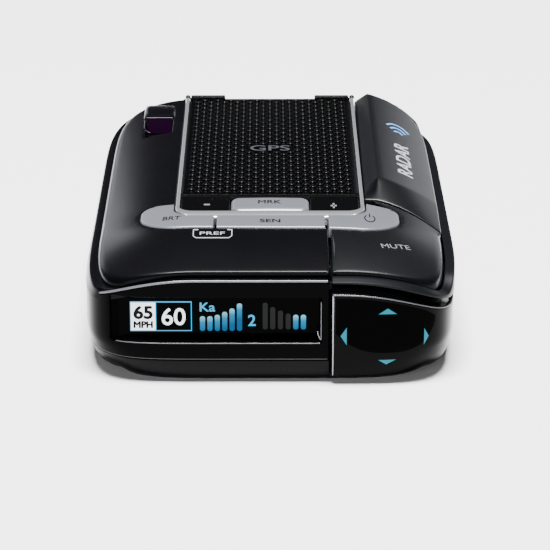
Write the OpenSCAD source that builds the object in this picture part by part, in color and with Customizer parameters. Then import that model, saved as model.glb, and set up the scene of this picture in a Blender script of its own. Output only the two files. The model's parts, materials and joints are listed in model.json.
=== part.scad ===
// Windshield-mounted radar detector: moulded case, seven keys, display, arrow lights and the works inside.
// Frame: +X to the driver's right, +Y to the windshield, +Z up, origin under the middle of the case.

/* [Body] */
// Overall length, from the arrow panel to the windshield face
body_l = 135.9; // [135:0.1:137]
// Overall width across the sides
body_w = 89.7; // [89:0.1:91]
// Overall height to the ridge beside the pad
body_h = 34.5; // [34.2:0.1:35]
// Wall thickness of the moulded shells
wall = 1.8; // [1.6:0.1:2]

/* [Controls] */
// Clear gap around each small key
key_gap = 0.25; // [0.2:0.05:0.3]
// Half width of the bright frame around the pad
trim_half_w = 23.3; // [23.2:0.1:23.4]
// Radius of the key switch plungers
plunger_r = 1.1; // [0.9:0.1:1.2]

/* [Windshield mount] */
// Width of the slot that takes the mount's blade
slot_w = 24; // [22:0.5:25]
// Height of the slot
slot_t = 4.6; // [4.4:0.1:4.8]
// Depth of the slot
slot_d = 22; // [20:0.5:23]

/* [Sockets] */
// Radius of the earphone jack's bore
phone_r = 1.8; // [1.7:0.05:1.9]
// Length of the earphone jack's bore
phone_l = 12; // [11:0.5:13]

/* [Fasteners] */
// Radius of the case screws' shanks
screw_r = 1.2; // [1.1:0.05:1.3]

/* [Hidden] */
$fn = 48;

half_w = body_w/2;
front_y = -body_l/2;
rear_y = body_l/2;
deck_h = body_h - 3.3;
panel_step = 1.45;
split_x = 14.2;
side_split_z = 20;
strip_low_z = 18.4;
strip_high_z = 24.6;
strip_rear_y = 58;
chin_z = 5.9;
wrap_y = -50;
far = 200;
eps = 0.01;

// A closed plan outline: [half width, front depth, rear depth, front power, rear power]
body_loop = [half_w, -front_y - panel_step, rear_y, 7.5, 6.5];
panel_loop = [half_w - 0.05, -front_y, rear_y, 7.5, 6.5];
cover_loop = [half_w - 0.25, 64.4, rear_y - 0.15, 8.5, 6.5];
rim_loop = [half_w - 0.95, 64.4, rear_y - 0.15, 8.5, 6.5];
crown_loop = [half_w - 3.15, 63, rear_y - 0.7, 10, 6.5];
mute_loop = [half_w - 3.1, 62.9, 62.9, 12, 12];
strip_loop = [half_w - 0.15, 66.3, rear_y, 9, 6.5];
loop_points = 48;

// Crown of the deck: flat between the rails, then falling to the sides and the front
crown_start = 17;
crown_span = 26;
apron_start = 36;
rail_start = 26;
function ramp(v) = max(0, v);
function deck_line(y) = deck_h + 0.0115*ramp(y + rail_start) - 0.0062*pow(ramp(-apron_start - y), 2);
function deck_z(x, y) = deck_line(y) - (5.1 - 0.01*y)*pow(ramp(abs(x) - crown_start)/crown_span, 2.2);
lip_drop = 0.55;
ledge_drop = 1.9;
function lip_z(x) = deck_z(x, -64) - lip_drop;

// Hump beside the pad: a ridge, a crease across its near end and a nose that falls to the mute key
ridge_x = 27;
crease_y = -13;
hump_left = trim_half_w + key_gap;
hump_right = half_w - 2.75;
function hump_back_z(x) = x < ridge_x ? body_h - 0.95*(ridge_x - x)
    : body_h - 0.30*(x - ridge_x) - 0.0125*pow(x - ridge_x, 2);
function hump_near_y(x) = -21.2 - 0.036*pow(x - hump_left, 2);
function hump_z(x, y) = let (foot = deck_z(x, hump_near_y(x)),
    part = ramp(crease_y - y)/(crease_y - hump_near_y(x)))
    hump_back_z(x)*(1 - part) + foot*part;

function loop_point(t, s) = let (c = cos(t), d = sin(t), b = d < 0 ? s[1] : s[2], n = d < 0 ? s[3] : s[4])
    [s[0]*sign(c)*pow(abs(c), 2/n), b*sign(d)*pow(abs(d), 2/n)];
function loop(s, n = loop_points) = [for (i = [0:n - 1]) loop_point(360*(i + 0.5)/n, s)];
function grown(s, d) = [s[0] + d, s[1] + d, s[2] + d, s[3], s[4]];
function scaled(s, k) = [s[0]*k, s[1]*k, s[2]*k, s[3], s[4]];
function arc(cx, cy, r, from, to, n = 8) = [for (i = [0:n]) let (t = from + (to - from)*i/n)
    [cx + r*cos(t), cy + r*sin(t)]];

// ---- general solids ----

// Closed skin over a stack of rings, lowest first, each running anticlockwise from above
module loft(rings) {
    n = len(rings[0]);
    top = (len(rings) - 1)*n;
    low_mid = [0, 0, rings[0][0][2]];
    high_mid = [0, 0, rings[len(rings) - 1][0][2]];
    points = concat([for (ring = rings) each ring], [low_mid, high_mid]);
    sides = [for (j = [0:len(rings) - 2], i = [0:n - 1]) let (k = (i + 1) % n)
        each [[j*n + i, j*n + n + i, j*n + n + k], [j*n + i, j*n + n + k, j*n + k]]];
    caps = [for (i = [0:n - 1]) let (k = (i + 1) % n)
        each [[len(points) - 2, i, k], [len(points) - 1, top + k, top + i]]];
    polyhedron(points, concat(sides, caps));
}

// Solid under a grid of top points, down to a flat floor; rows run along +Y, columns along +X
module grid_solid(top, floor_z) {
    nx = len(top);
    ny = len(top[0]);
    count = nx*ny;
    points = concat([for (col = top) each col], [for (col = top, p = col) [p[0], p[1], floor_z]]);
    function at(i, j) = i*ny + j;
    upper = [for (i = [0:nx - 2], j = [0:ny - 2])
        each [[at(i, j), at(i, j + 1), at(i + 1, j + 1)], [at(i, j), at(i + 1, j + 1), at(i + 1, j)]]];
    lower = [for (f = upper) [count + f[2], count + f[1], count + f[0]]];
    ends_x = [for (j = [0:ny - 2], i = [0, nx - 1]) let (a = at(i, j), b = at(i, j + 1))
        i == 0 ? [a, count + a, count + b, b] : [b, count + b, count + a, a]];
    ends_y = [for (i = [0:nx - 2], j = [0, ny - 1]) let (a = at(i, j), b = at(i + 1, j))
        j == 0 ? [b, count + b, count + a, a] : [a, count + a, count + b, b]];
    polyhedron(points, concat(upper, lower, ends_x, ends_y));
}

// Everything under the deck over a rectangle, lowered by drop
module under_deck(x0, x1, y0, y1, step, drop, floor_z = 15) {
    nx = ceil((x1 - x0)/step);
    ny = ceil((y1 - y0)/step);
    grid_solid([for (i = [0:nx]) [for (j = [0:ny]) let (x = x0 + (x1 - x0)*i/nx, y = y0 + (y1 - y0)*j/ny)
        [x, y, deck_z(x, y) - drop]]], floor_z);
}

module span(x, y, z) {
    translate([x[0], y[0], z[0]]) cube([x[1] - x[0], y[1] - y[0], z[1] - z[0]]);
}

module plan(points, z) {
    translate([0, 0, z[0]]) linear_extrude(z[1] - z[0]) polygon(points);
}

// Front elevation (x, z) carried along +Y
module elevation(points, y) {
    translate([0, y[1], 0]) rotate([90, 0, 0]) linear_extrude(y[1] - y[0]) polygon(points);
}

// Side elevation (y, z) carried along +X
module profile(points, x) {
    translate([x[0], 0, 0]) rotate([90, 0, 90]) linear_extrude(x[1] - x[0]) polygon(points);
}

module peg(x, y, r, z) {
    translate([x, y, z[0]]) cylinder(h = z[1] - z[0], r = r);
}

// ---- places shared by several sub-parts ----
boss_spots = [[-35, -44], [35, -44], [-35, 55], [35, 55]];
post_spots = [[-33, -36], [33, -36], [-33, 38], [33, 38]];
board_z = [7, 8.6];
floor_z = wall;
speaker_spot = [17, 10];
speaker_r = 13.5;
jack_y = [-31, -17];
jack_z = [board_z[1], 19.6];
jack_hole_y = [-28.9, -19.1];
jack_hole_z = [10.4, 17.2];
usb_y = [-9, 0];
usb_z = [board_z[1], 12.8];
phone_y = 11;
phone_z = 12;
port_x = 2.35 - half_w;
plate_t = 0.3;
radome_x = [-12, 30];
radome_z = [7, 18.6];
lens_x = [-34, -20];
lens_z = [8.5, 17];
window_x = [-37.9, 12.2];
window_z = [10.2, 21.6];
sight_x = [-34.2, 11.6];
sight_z = [11.3, 20.6];
tray_z = [26.6, 28.2];
tray_top = tray_z[1];
slot_z = [20.9, 20.9 + slot_t];
slot_y0 = rear_y - slot_d - 1.2;
hinge_y = -31;
hinge_z = 24.9;
hinge_r = 1;
key_board_z = [21.8, 23];
switch_top = 25;
post_z = 26;
minus_spot = [-15.8, -24.2];
mark_spot = [0, -25];
plus_spot = [15.8, -24.2];
bright_spot = [-23, -37.6];
sens_spot = [0, -38.4];
power_spot = [24.5, -37.8];
mute_spot = [26.5, -52];
switch_spots = [minus_spot, mark_spot, plus_spot, bright_spot, sens_spot, power_spot, mute_spot];

// Outline of the bright frame: straight rails, round near corners and a straight front bar
bar_y = -33.9;
corner_r = 5;
function frame_outline(half, y0, y1, r) = concat([[half, y1], [-half, y1]],
    arc(-half + r, y0 + r, r, 180, 270), arc(half - r, y0 + r, r, 270, 360));

// Outlines of the three satin keys
sat_edge = 13.55;
sat_top = bar_y - key_gap;
bright_outline = concat(arc(-27.2, -29.5, 4.7, 85, 180, 6), arc(-22.1, -32.7, 9.8, 180, 270, 8),
    [[-sat_edge, -42.6], [-sat_edge, sat_top]],
    arc(-trim_half_w + corner_r, bar_y + corner_r, corner_r + key_gap, 270, 180, 6), [[-hump_left, -25]]);
sens_outline = [[-13.15, sat_top], [-13.15, -42.6], [0, -42.8], [13.5, -42.9], [13.5, sat_top]];
power_outline = concat([[hump_left, -24.6]], [[hump_left, bar_y + corner_r]],
    arc(trim_half_w - corner_r, bar_y + corner_r, corner_r + key_gap, 360, 270, 6),
    [[14, sat_top], [14, -43.2]], arc(22.1, -34, 9.7, 270, 360, 8), arc(27.2, -30.4, 4.6, 0, 62, 5));

// ---- outer shells ----

body_levels = [[0, 3.4, 4], [0.4, 2.5, 4.4], [1.2, 1.7, 4.9], [3, 1, 5.6], [6, 0.4, 6.6], [9, 0.1, 7.5]];

module tub(s, top = side_split_z) {
    loft([for (lv = concat(body_levels, [[top, 0, 7.5]])) let (size = grown(s, -lv[1]))
        [for (p = loop([size[0], size[1], size[2], lv[2], 6.5])) [p[0], p[1], lv[0]]]]);
}

module bottom_case() {
    lug_r = 3;
    color([0.07, 0.07, 0.08]) difference() {
        union() {
            difference() {
                union() {
                    tub(body_loop);
                    intersection() {
                        tub(grown(panel_loop, -0.5));
                        span([split_x, far], [-far, wrap_y], [0, 8]);
                    }
                }
                plan(loop(grown(body_loop, -wall - 0.3)), [floor_z, far]);
                span([-far, split_x - 0.2], [-far, wrap_y], [chin_z - 0.15, far]);
                span([split_x - 0.2 - eps, far], [-far, wrap_y], [2.2, far]);
                span([36, far], [-far, strip_rear_y + 0.2], [strip_low_z - 0.1, far]);
            }
            for (p = boss_spots) peg(p[0], p[1], lug_r, [floor_z - eps, 10]);
            for (p = post_spots) peg(p[0], p[1], 2.4, [floor_z - eps, board_z[0]]);
        }
        for (p = boss_spots) {
            peg(p[0], p[1], screw_r + 0.3, [-1, 11]);
            peg(p[0], p[1], 2.6, [-1, 4]);
        }
        for (p = post_spots) peg(p[0], p[1], 0.9, [floor_z, board_z[0] + 1]);
        for (i = [-3:3]) span([speaker_spot[0] - 0.6 + 2.8*i, speaker_spot[0] + 0.6 + 2.8*i],
            [speaker_spot[1] - 9 + abs(i), speaker_spot[1] + 9 - abs(i)], [-1, floor_z + 1]);
        span([-far, -38], jack_hole_y, jack_hole_z);
        span([-far, -38], [usb_y[0] + 0.5, usb_y[1] - 0.5], [usb_z[0] + 0.4, usb_z[1] - 0.2]);
        translate([-38, phone_y, phone_z]) rotate([0, -90, 0]) cylinder(h = 20, r = 3.4);
        span(radome_x, [60, far], radome_z);
        span(lens_x, [60, far], lens_z);
        span([-21, 21], [30, 54], [-1, plate_t]);
    }
}

// Left end of the front elevation, under the lip line plus a rise
function left_lip(rise) = let (x0 = split_x - 0.3) concat([for (i = [0:16]) let (x = x0 - i*(x0 + half_w +
    1)/16)
    [x, lip_z(x) + rise]], [[-half_w - 1, chin_z], [x0, chin_z]]);

module front_bezel() {
    color([0.05, 0.05, 0.06]) difference() {
        intersection() {
            tub(body_loop, 30);
            elevation(left_lip(0), [-far, wrap_y - 0.15]);
        }
        difference() {
            plan(loop(grown(body_loop, -1.9)), [0, far]);
            span([window_x[0] - 1, window_x[1] + 1.6], [-64.8, -63], [chin_z, window_z[1] - 0.5]);
        }
        span(window_x, [-far, -64.2], window_z);
        span([sight_x[0] - 1.7, sight_x[1] + 1.4], [-63.1, -50], [sight_z[0] - 2, sight_z[1] + 0.2]);
        span(sight_x, [-far, -60], sight_z);
    }
}

module display_lens() {
    color([0.02, 0.02, 0.03]) span([sight_x[0] - 1.6, sight_x[1] + 1.3], [-63.1, -61.9], [sight_z[0] - 1.9,
        sight_z[1] + 0.1]);
}

arrow_mid = [27.5, 12.1];
arrow_reach = [9.5, 5.8];
arrow_size = 2.2;
arrow_high = 1.4;

function arrow_outline(turn) = let (c = cos(turn), s = sin(turn)) [for (p = [[0, arrow_high], [-arrow_size,
    0], [arrow_size, 0]])
    [c*p[0] - s*p[1], s*p[0] + c*p[1]]];

// Right end of the front elevation, under the lip line less a drop
function under_lip(drop) = concat([[split_x + 0.2, 2.4], [half_w + 1, 2.4]],
    [for (i = [0:10]) let (x = half_w + 0.8 - i*(half_w + 0.6 - split_x)/10) [x,
        lip_z(x) - drop - 0.02*(x - split_x)]]);

module arrow_spot(where) {
    x = arrow_mid[0] + arrow_reach[0]*where[0];
    z = arrow_mid[1] + arrow_reach[1]*where[1];
    turn = where[0] == 0 ? (where[1] > 0 ? 0 : 180) : -90*where[0];
    translate([x, -50, z]) rotate([90, 0, 0]) linear_extrude(30)
        polygon(arrow_outline(turn));
}

arrow_places = [[0, 1], [0, -1], [-1, 0], [1, 0]];

module arrow_panel() {
    color([0.03, 0.03, 0.035]) difference() {
        union() {
            intersection() {
                tub(panel_loop, 30);
                elevation(under_lip(2.95), [-far, wrap_y - 0.15]);
            }
            intersection() {
                plan(loop(grown(panel_loop, -1.5)), [5, 30]);
                elevation(under_lip(1.95), [-far, wrap_y - 0.15]);
            }
        }
        plan(loop(grown(panel_loop, -3)), [0, far]);
        for (w = arrow_places) arrow_spot(w);
    }
}

module arrow_lens(where) {
    color([0.1, 0.72, 0.85]) intersection() {
        plan(loop(grown(panel_loop, -0.1)), [0, 30]);
        arrow_spot(where);
        difference() {
            span([10, 50], [-far, -40], [0, 30]);
            plan(loop(grown(panel_loop, -2.9)), [0, 30]);
        }
    }
}

module arrow_up() { arrow_lens(arrow_places[0]); }
module arrow_down() { arrow_lens(arrow_places[1]); }
module arrow_left() { arrow_lens(arrow_places[2]); }
module arrow_right() { arrow_lens(arrow_places[3]); }

// Strip under the mute key and along the right side, swept round the corner
function outward(p, s) = let (v = [sign(p[0])*pow(abs(p[0])/s[0], s[3] - 1)/s[0],
    sign(p[1])*pow(abs(p[1])/s[1], s[3] - 1)/s[1]]) v/norm(v);
module side_strip() {
    steps = 30;
    start = 360 - acos(pow((split_x + 0.4)/strip_loop[0], strip_loop[3]/2));
    finish = 360 + asin(pow(strip_rear_y/strip_loop[2], strip_loop[4]/2));
    function top_z(x, y, rise) = let (w = min(1, ramp(y + 62)/10))
        (1 - w)*(lip_z(x) + rise) + w*min(deck_z(hump_right, y) - 1.3, strip_high_z);
    function low_z(x, y) = y > wrap_y ? strip_low_z : max(strip_low_z, lip_z(x) - 0.95 - 0.013*(x - split_x));
    stations = [for (i = [0:steps]) let (o = loop_point(start + (finish - start)*i/steps, strip_loop),
        q = o - outward(o, strip_loop)*2.35, low = low_z(o[0], o[1]))
        [[o[0], o[1], low], [o[0], o[1], top_z(o[0], o[1], -0.45)], [q[0], q[1], top_z(o[0], o[1], 0.35)],
            [q[0], q[1], low]]];
    points = [for (s = stations) each s];
    bands = [for (i = [0:steps - 1], k = [0:3]) let (a = 4*i + k, b = 4*i + (k + 1) % 4)
        each [[a, b, b + 4], [a, b + 4, a + 4]]];
    color([0.3, 0.3, 0.33])
        polyhedron(points, concat(bands, [[3, 2, 1, 0], [4*steps, 4*steps + 1, 4*steps + 2, 4*steps + 3]]));
}

// Skin of the deck: skirt, rolled edge and crown
function skirt_z(x, y) = side_split_z + (deck_z(x, y) - 3.2 - side_split_z)*min(1, ramp(-55 - y)/7);
function deck_ring(s, drop) = [for (p = loop(s)) [p[0], p[1], deck_z(p[0], p[1]) - drop]];
module cover_block() {
    flank = grown(crown_loop, -1);
    skirt = [for (p = loop(cover_loop)) [p[0], p[1], skirt_z(p[0], p[1])]];
    crown_foot = deck_ring(crown_loop, ledge_drop);
    rim = loop(rim_loop);
    ledge = [for (i = [0:len(rim) - 1]) [rim[i][0], rim[i][1], crown_foot[i][2]]];
    loft(concat([skirt, ledge, crown_foot],
        [deck_ring(grown(crown_loop, -0.06), 1.1), deck_ring(grown(crown_loop, -0.4), 0.4),
            deck_ring(flank, 0.06)],
        [for (k = [0.93, 0.82, 0.68, 0.5, 0.25]) deck_ring(scaled(flank, k), 0)]));
}

// Space inside the cover
module cover_hollow() {
    s = grown(rim_loop, -wall);
    loft(concat([[for (p = loop(s)) [p[0], p[1], 9]], deck_ring(grown(s, -0.2), wall + ledge_drop)],
        [for (k = [0.95, 0.8, 0.55, 0.25]) deck_ring(scaled(grown(crown_loop, -1.2), k), wall)]));
}

// The right side of the deck, which belongs to the mute key and the hump
right_side = concat([[split_x - 0.3, -far], [far, -far], [far, far], [hump_left - 0.2, far]],
    [[hump_left - 0.2, -25], [split_x - 0.3, bar_y - 1]]);

module top_cover() {
    color([0.06, 0.06, 0.07]) difference() {
        union() {
            difference() {
                cover_block();
                cover_hollow();
                plan(right_side, [0, far]);
            }
            span([-trim_half_w - 1.6, trim_half_w + 0.2], [bar_y + 0.3, rear_y - 1.3], [tray_z[0], 29]);
            profile([[29, 28.8], [29, 28], [46, 25.6], [62, 25.6], [62, 29], [49.6, 29]], [-35.2, -25]);
            profile([[49.6, 28], [62.5, 28], [63, 31.2], [61, 31.8], [58, 32.4], [50.4, 32.3], [49.6,
                31.9]], [-34.4, -25.8]);
            for (p = boss_spots) if (p[0] < 0) peg(p[0], p[1], 3, [10, p[1] < 0 ? 27.4 : 29.2]);
        }
        plan(frame_outline(trim_half_w + 0.1, bar_y - 0.1, far, corner_r), [tray_top, far]);
        plan(bright_outline, [20, far]);
        plan(power_outline, [20, far]);
        plan([for (p = sens_outline) [p[0]*1.02, p[1]]], [20, far]);
        span([sight_x[0] - 2.2, sight_x[1] + 1.9], [-far, -59.2], [0, sight_z[1] + 0.3]);
        intersection() {
            difference() {
                plan(loop(grown(body_loop, 1)), [0, far]);
                plan(loop(grown(body_loop, -2.05)), [-1, far + 1]);
            }
            elevation(left_lip(0.12), [-far, wrap_y]);
        }
        span([-13.8, -13.0], [-42.6, sat_top], [20, far]);
        profile([[20, 40], [30, 33], [34, 29.8], [46.2, 27.3], [47.2, 27.3], [49.6, 31.6], [49.6, 40]],
            [-33.8, -26.4]);
        profile([[47.2, 27.3], [49.6, 31.6], [51.1, 31.6], [48.7, 27.3]], [-33.5, -26.7]);
        profile([[47.9, 27.5], [49.8, 30.8], [58.3, 30.8], [58.3, 20], [51.9, 20], [51.9, 27.5]], [-32.6,
            -27.6]);
        for (p = [minus_spot, mark_spot, plus_spot]) peg(p[0], p[1], 2.4, [20, far]);
        for (p = boss_spots) peg(p[0], p[1], screw_r + 0.05, [9, 19]);
        span([-slot_w/2 - 0.9, slot_w/2 + 0.9], [slot_y0 - 0.9, far], [slot_z[0] - 0.9, slot_z[1] + 0.9]);
    }
}

// Hump: the ridged top, bounded by a wall that leans in above the deck's edge
module hump_top(inset, drop, floor_z) {
    marks = [hump_left + inset, 25.2, ridge_x, 29.2, 31.5, 34, 36.5, 39, 41, 42.6, half_w + 1];
    cols = [for (k = [0:10]) max(hump_left + inset + 0.1*k, marks[k])];
    grid_solid([for (x = cols) let (y0 = hump_near_y(min(x, hump_right)) + key_gap + inset)
        [for (y = [y0, (y0 + crease_y)/2, crease_y, 8, 30, 50, rear_y + 1]) [x, y, hump_z(x, y) - drop]]],
            floor_z);
}
module leaning_wall(inset) {
    s = grown(cover_loop, -inset);
    loft(concat([[for (p = loop(s)) [p[0], p[1], side_split_z]]], [deck_ring(grown(s, -0.3), 2.6),
        deck_ring(grown(s, -0.8), 1.1), deck_ring(grown(s, -1.6), 0.2), deck_ring(grown(s, -3), -1.6),
        deck_ring(grown(s, -6), -6)]));
}

module hump_cover() {
    color([0.2, 0.2, 0.23]) difference() {
        union() {
            difference() {
                intersection() {
                    hump_top(0, 0, side_split_z + 0.1);
                    leaning_wall(0);
                }
                intersection() {
                    hump_top(wall, wall, 0);
                    plan(loop(grown(cover_loop, -wall - 1.2)), [0, far]);
                }
                intersection() {
                    span([20, far], [-far, strip_rear_y + 0.2], [0, strip_high_z + 0.2]);
                    difference() {
                        plan(loop(grown(body_loop, 2)), [0, far]);
                        plan(loop(grown(strip_loop, -2.8)), [-1, far + 1]);
                    }
                }
                span([0, half_w - 4.6], [-far, crease_y - 2], [0, key_board_z[1] + 1.4]);
            }
            peg(35, 55, 3, [10, 29]);
        }
        peg(35, 55, screw_r + 0.05, [9, 20]);
    }
}

rail_w = 0.95;
bar_w = 3.1;
module trim_frame() {
    slope = [[-far, 27], [far, 27], [rear_y, deck_line(rear_y) + 0.2], [-rail_start, deck_h + 0.15],
        [bar_y + bar_w, deck_h + 0.15], [bar_y, deck_h - 0.5], [-far, deck_h - 0.5]];
    color([0.83, 0.84, 0.86]) difference() {
        intersection() {
            plan(frame_outline(trim_half_w, bar_y, rear_y - 0.6, corner_r), [tray_top, far]);
            profile(slope, [-far, far]);
        }
        plan(frame_outline(trim_half_w - rail_w, bar_y + bar_w, far, corner_r - 1.6), [0, far]);
    }
}

pad_y = [-17.6, rear_y - 0.8];
pad_half_w = trim_half_w - rail_w - 0.1;
module texture_pad() {
    color([0.09, 0.09, 0.09]) difference() {
        profile([[pad_y[0], tray_top], [pad_y[1], tray_top], [pad_y[1], deck_line(rear_y) - 0.1],
            [pad_y[0], deck_h - 0.1]],
            [-pad_half_w, pad_half_w]);
        span([-12.4, 12.4], [pad_y[1] - 2, far], [deck_line(rear_y) - 1, far]);
    }
}

strip_y = [bar_y + bar_w + 0.15, pad_y[0] - 0.1];
strip_z = [tray_top, 29.2];
module strip_tray() {
    color([0.05, 0.05, 0.05]) difference() {
        plan(frame_outline(pad_half_w, strip_y[0], strip_y[1], corner_r - 1.7), strip_z);
        for (p = [minus_spot, mark_spot, plus_spot]) peg(p[0], p[1], 2, [20, far]);
    }
}

key_rest = 29.9;
module strip_key(outline, spot, top_z) {
    plan(outline, [key_rest, top_z]);
    peg(spot[0], spot[1], 1.6, [post_z, key_rest + eps]);
}

mark_half_w = 9.8;
module key_mark() {
    color([0.68, 0.7, 0.74]) strip_key([for (p = loop([mark_half_w, 5.0, 4.9, 6, 6], 32)) p + [0, -25.5]],
        mark_spot, deck_h + 0.5);
}

side_key_outline = frame_outline(pad_half_w - key_gap, strip_y[0] + key_gap, strip_y[1] - key_gap,
    corner_r - 2);
module side_key(side, spot) {
    color([0.05, 0.05, 0.05]) {
        difference() {
            plan(side_key_outline, [key_rest, deck_h - 0.4]);
            span([side > 0 ? -far : -mark_half_w - key_gap, side > 0 ? mark_half_w + key_gap : far], [-far,
                far], [0, far]);
        }
        peg(spot[0], spot[1], 1.6, [post_z, key_rest + eps]);
    }
}
module key_minus() { side_key(-1, minus_spot); }
module key_plus() { side_key(1, plus_spot); }

// A satin key: its outline follows the deck, with a post down to its switch
module satin_key(points, spot, x, y) {
    proud = 0.2;
    color([0.66, 0.68, 0.73]) {
        difference() {
            intersection() {
                translate([0, 0, key_rest - 2]) linear_extrude(20) offset(delta = -key_gap) polygon(points);
                under_deck(x[0], x[1], y[0], y[1], 4, -proud);
            }
            under_deck(x[0] - 4, x[1] + 4, y[0] - 4, y[1] + 4, 6, 2.3, 10);
        }
        peg(spot[0], spot[1], 1.6, [post_z, key_rest]);
    }
}
module key_brightness() {
    satin_key(bright_outline, bright_spot, [-33, -12], [-44, -23]);
}
module key_sensitivity() {
    satin_key(sens_outline, sens_spot, [-14, 14], [-44, -33]);
}
module key_power() {
    satin_key(power_outline, power_spot, [13, 33], [-45, -23]);
}

module mute_outline() {
    difference() {
        intersection() {
            polygon(loop(mute_loop));
            polygon(concat([[split_x + 0.4, -far], [far, -far]],
                [for (i = [8:-1:0]) let (x = hump_left + (half_w - hump_left)*i/8)
                    [x, hump_near_y(min(x, hump_right)) - key_gap]], [[hump_left, bar_y + 5],
                        [split_x + 0.4, bar_y]]));
        }
        polygon(concat(power_outline, [[hump_left, -20]]));
        translate([-far, sat_top - 1]) square([far + hump_left, far]);
    }
}

module mute_underside() {
    under_deck(split_x - 3, half_w + 2, -70, -16, 5, 1.6, 10);
}

module key_mute() {
    color([0.1, 0.1, 0.115]) difference() {
        intersection() {
            translate([0, 0, 16]) linear_extrude(20) mute_outline();
            under_deck(split_x, half_w - 1, -66, -20, 4, 0, 15);
        }
        mute_underside();
    }
}

// ---- mute key's hinge ----
tower_left_x = [17.3, 20.8];
tower_right_x = [28.5, 32];
tower_y = [hinge_y - 2.2, hinge_y + 2.2];
tower_top = 26.4;
arm_z = [24, 26];

arm_left = [15, 16.8];
arm_right = [32.3, 34.1];
beam_y = [-49.2, -46.6];
module mute_carrier() {
    arm_y = [beam_y[0], hinge_y + 1.5];
    tongue_x = [mute_spot[0] - 2, mute_spot[0] + 2];
    color([0.12, 0.12, 0.13]) {
        span(arm_left, arm_y, arm_z);
        span(arm_right, arm_y, arm_z);
        span([arm_left[0], arm_right[1]], beam_y, arm_z);
        for (x = [[arm_left[0], tower_left_x[1] - 0.3], [tower_right_x[0] + 0.3, arm_right[1]]])
            translate([x[0], hinge_y, hinge_z]) rotate([0, 90, 0]) cylinder(h = x[1] - x[0], r = hinge_r);
        intersection() {
            union() {
                for (x = [arm_left, [31.6, 33.6], tongue_x]) span(x, beam_y, [arm_z[1] - eps, far]);
                span(tongue_x, [mute_spot[1] - 2, beam_y[1]], [post_z, post_z + 1.2]);
            }
            mute_underside();
        }
    }
}

module key_frame() {
    frame_z = [20.2, key_board_z[0]];
    color([0.15, 0.15, 0.16]) difference() {
        union() {
            span([-31.6, 33], [-45, -17], frame_z);
            span([14.5, 38], [-56, -17], frame_z);
            for (x = [tower_left_x, tower_right_x]) span(x, tower_y, [frame_z[0], tower_top]);
            for (p = [[-24, -21], [27, -24], [-27, -41], [22, -47]]) peg(p[0], p[1], 2, [board_z[1],
                frame_z[0] + eps]);
            peg(35, -44, 3, [10, frame_z[0] + eps]);
        }
        translate([0, hinge_y, hinge_z]) rotate([0, 90, 0]) cylinder(h = far, r = hinge_r + 0.05,
            center = true);
        peg(35, -44, screw_r + 0.05, [9, 19]);
    }
}

module key_board() {
    color([0.05, 0.3, 0.14]) difference() {
        union() {
            span([-31.6, 33], [-44.5, -17.5], key_board_z);
            span([14.5, 38], [-56, -17.5], key_board_z);
        }
        for (x = [tower_left_x, tower_right_x]) span([x[0] - 0.3, x[1] + 0.3], [tower_y[0] - 0.3,
            tower_y[1] + 0.3], [20, 30]);
    }
}

switch_half = 2.3;
well_z = 23.4;
module switch_bodies() {
    color([0.75, 0.75, 0.72]) for (p = switch_spots) difference() {
        span([p[0] - switch_half, p[0] + switch_half], [p[1] - switch_half, p[1] + switch_half],
            [key_board_z[1], switch_top]);
        peg(p[0], p[1], plunger_r + 0.35, [well_z, far]);
    }
}

module plunger(spot) {
    color([0.85, 0.82, 0.75]) peg(spot[0], spot[1], plunger_r, [well_z + 0.6, post_z]);
}
module plunger_minus() { plunger(minus_spot); }
module plunger_mark() { plunger(mark_spot); }
module plunger_plus() { plunger(plus_spot); }
module plunger_brightness() { plunger(bright_spot); }
module plunger_sensitivity() { plunger(sens_spot); }
module plunger_power() { plunger(power_spot); }
module plunger_mute() { plunger(mute_spot); }

// ---- rear and windshield end ----
module laser_window() {
    color([0.2, 0.03, 0.12]) profile([[47.3, 27.4], [49.7, 31.5], [51, 31.5], [48.6, 27.4]], [-33.4, -26.8]);
}

module end_plate(x, z, tint) {
    color(tint) intersection() {
        difference() {
            plan(loop(grown(body_loop, -0.35)), [0, 30]);
            plan(loop(grown(body_loop, -1.7)), [-1, 31]);
        }
        span([x[0] + 0.1, x[1] - 0.1], [60, far], [z[0] + 0.1, z[1] - 0.1]);
    }
}
module radome() { end_plate(radome_x, radome_z, [0.1, 0.1, 0.1]); }
module front_laser_lens() { end_plate(lens_x, lens_z, [0.25, 0.03, 0.08]); }

module mount_channel() {
    color([0.1, 0.1, 0.11]) difference() {
        span([-slot_w/2 - 0.8, slot_w/2 + 0.8], [slot_y0 - 0.8, rear_y - 0.6], [slot_z[0] - 0.8,
            slot_z[1] + 0.8]);
        span([-slot_w/2, slot_w/2], [slot_y0, far], slot_z);
    }
}

module mount_magnets() {
    color([0.6, 0.6, 0.62]) for (s = [-1, 1]) peg(6*s, slot_y0 + 6, 3, [slot_z[0] - 2.3, slot_z[0] - 0.8]);
}

// ---- works inside ----
module main_board() {
    color([0.04, 0.32, 0.15]) difference() {
        span([-38.5, 38.5], [-50, 57.5], board_z);
        for (p = boss_spots) peg(p[0], p[1], 4, [0, 20]);
        for (p = post_spots) peg(p[0], p[1], 1.1, [0, 20]);
        peg(speaker_spot[0], speaker_spot[1], speaker_r + 0.6, [0, 20]);
    }
}

module board_chips() {
    top = board_z[1];
    color([0.1, 0.1, 0.11]) {
        span([-9, 3], [-34, -22], [top, top + 1.5]);
        span([7, 15], [-34, -26], [top, top + 1.2]);
        span([-20, -13], [-42, -35], [top, top + 1.4]);
        span([6, 14], [-46, -41], [top, top + 1.2]);
        for (x = [-24, -18]) peg(x, 28, 2.6, [top, top + 6]);
        span([-26, -15], [36, 44], [top, top + 1.6]);
    }
}

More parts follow.
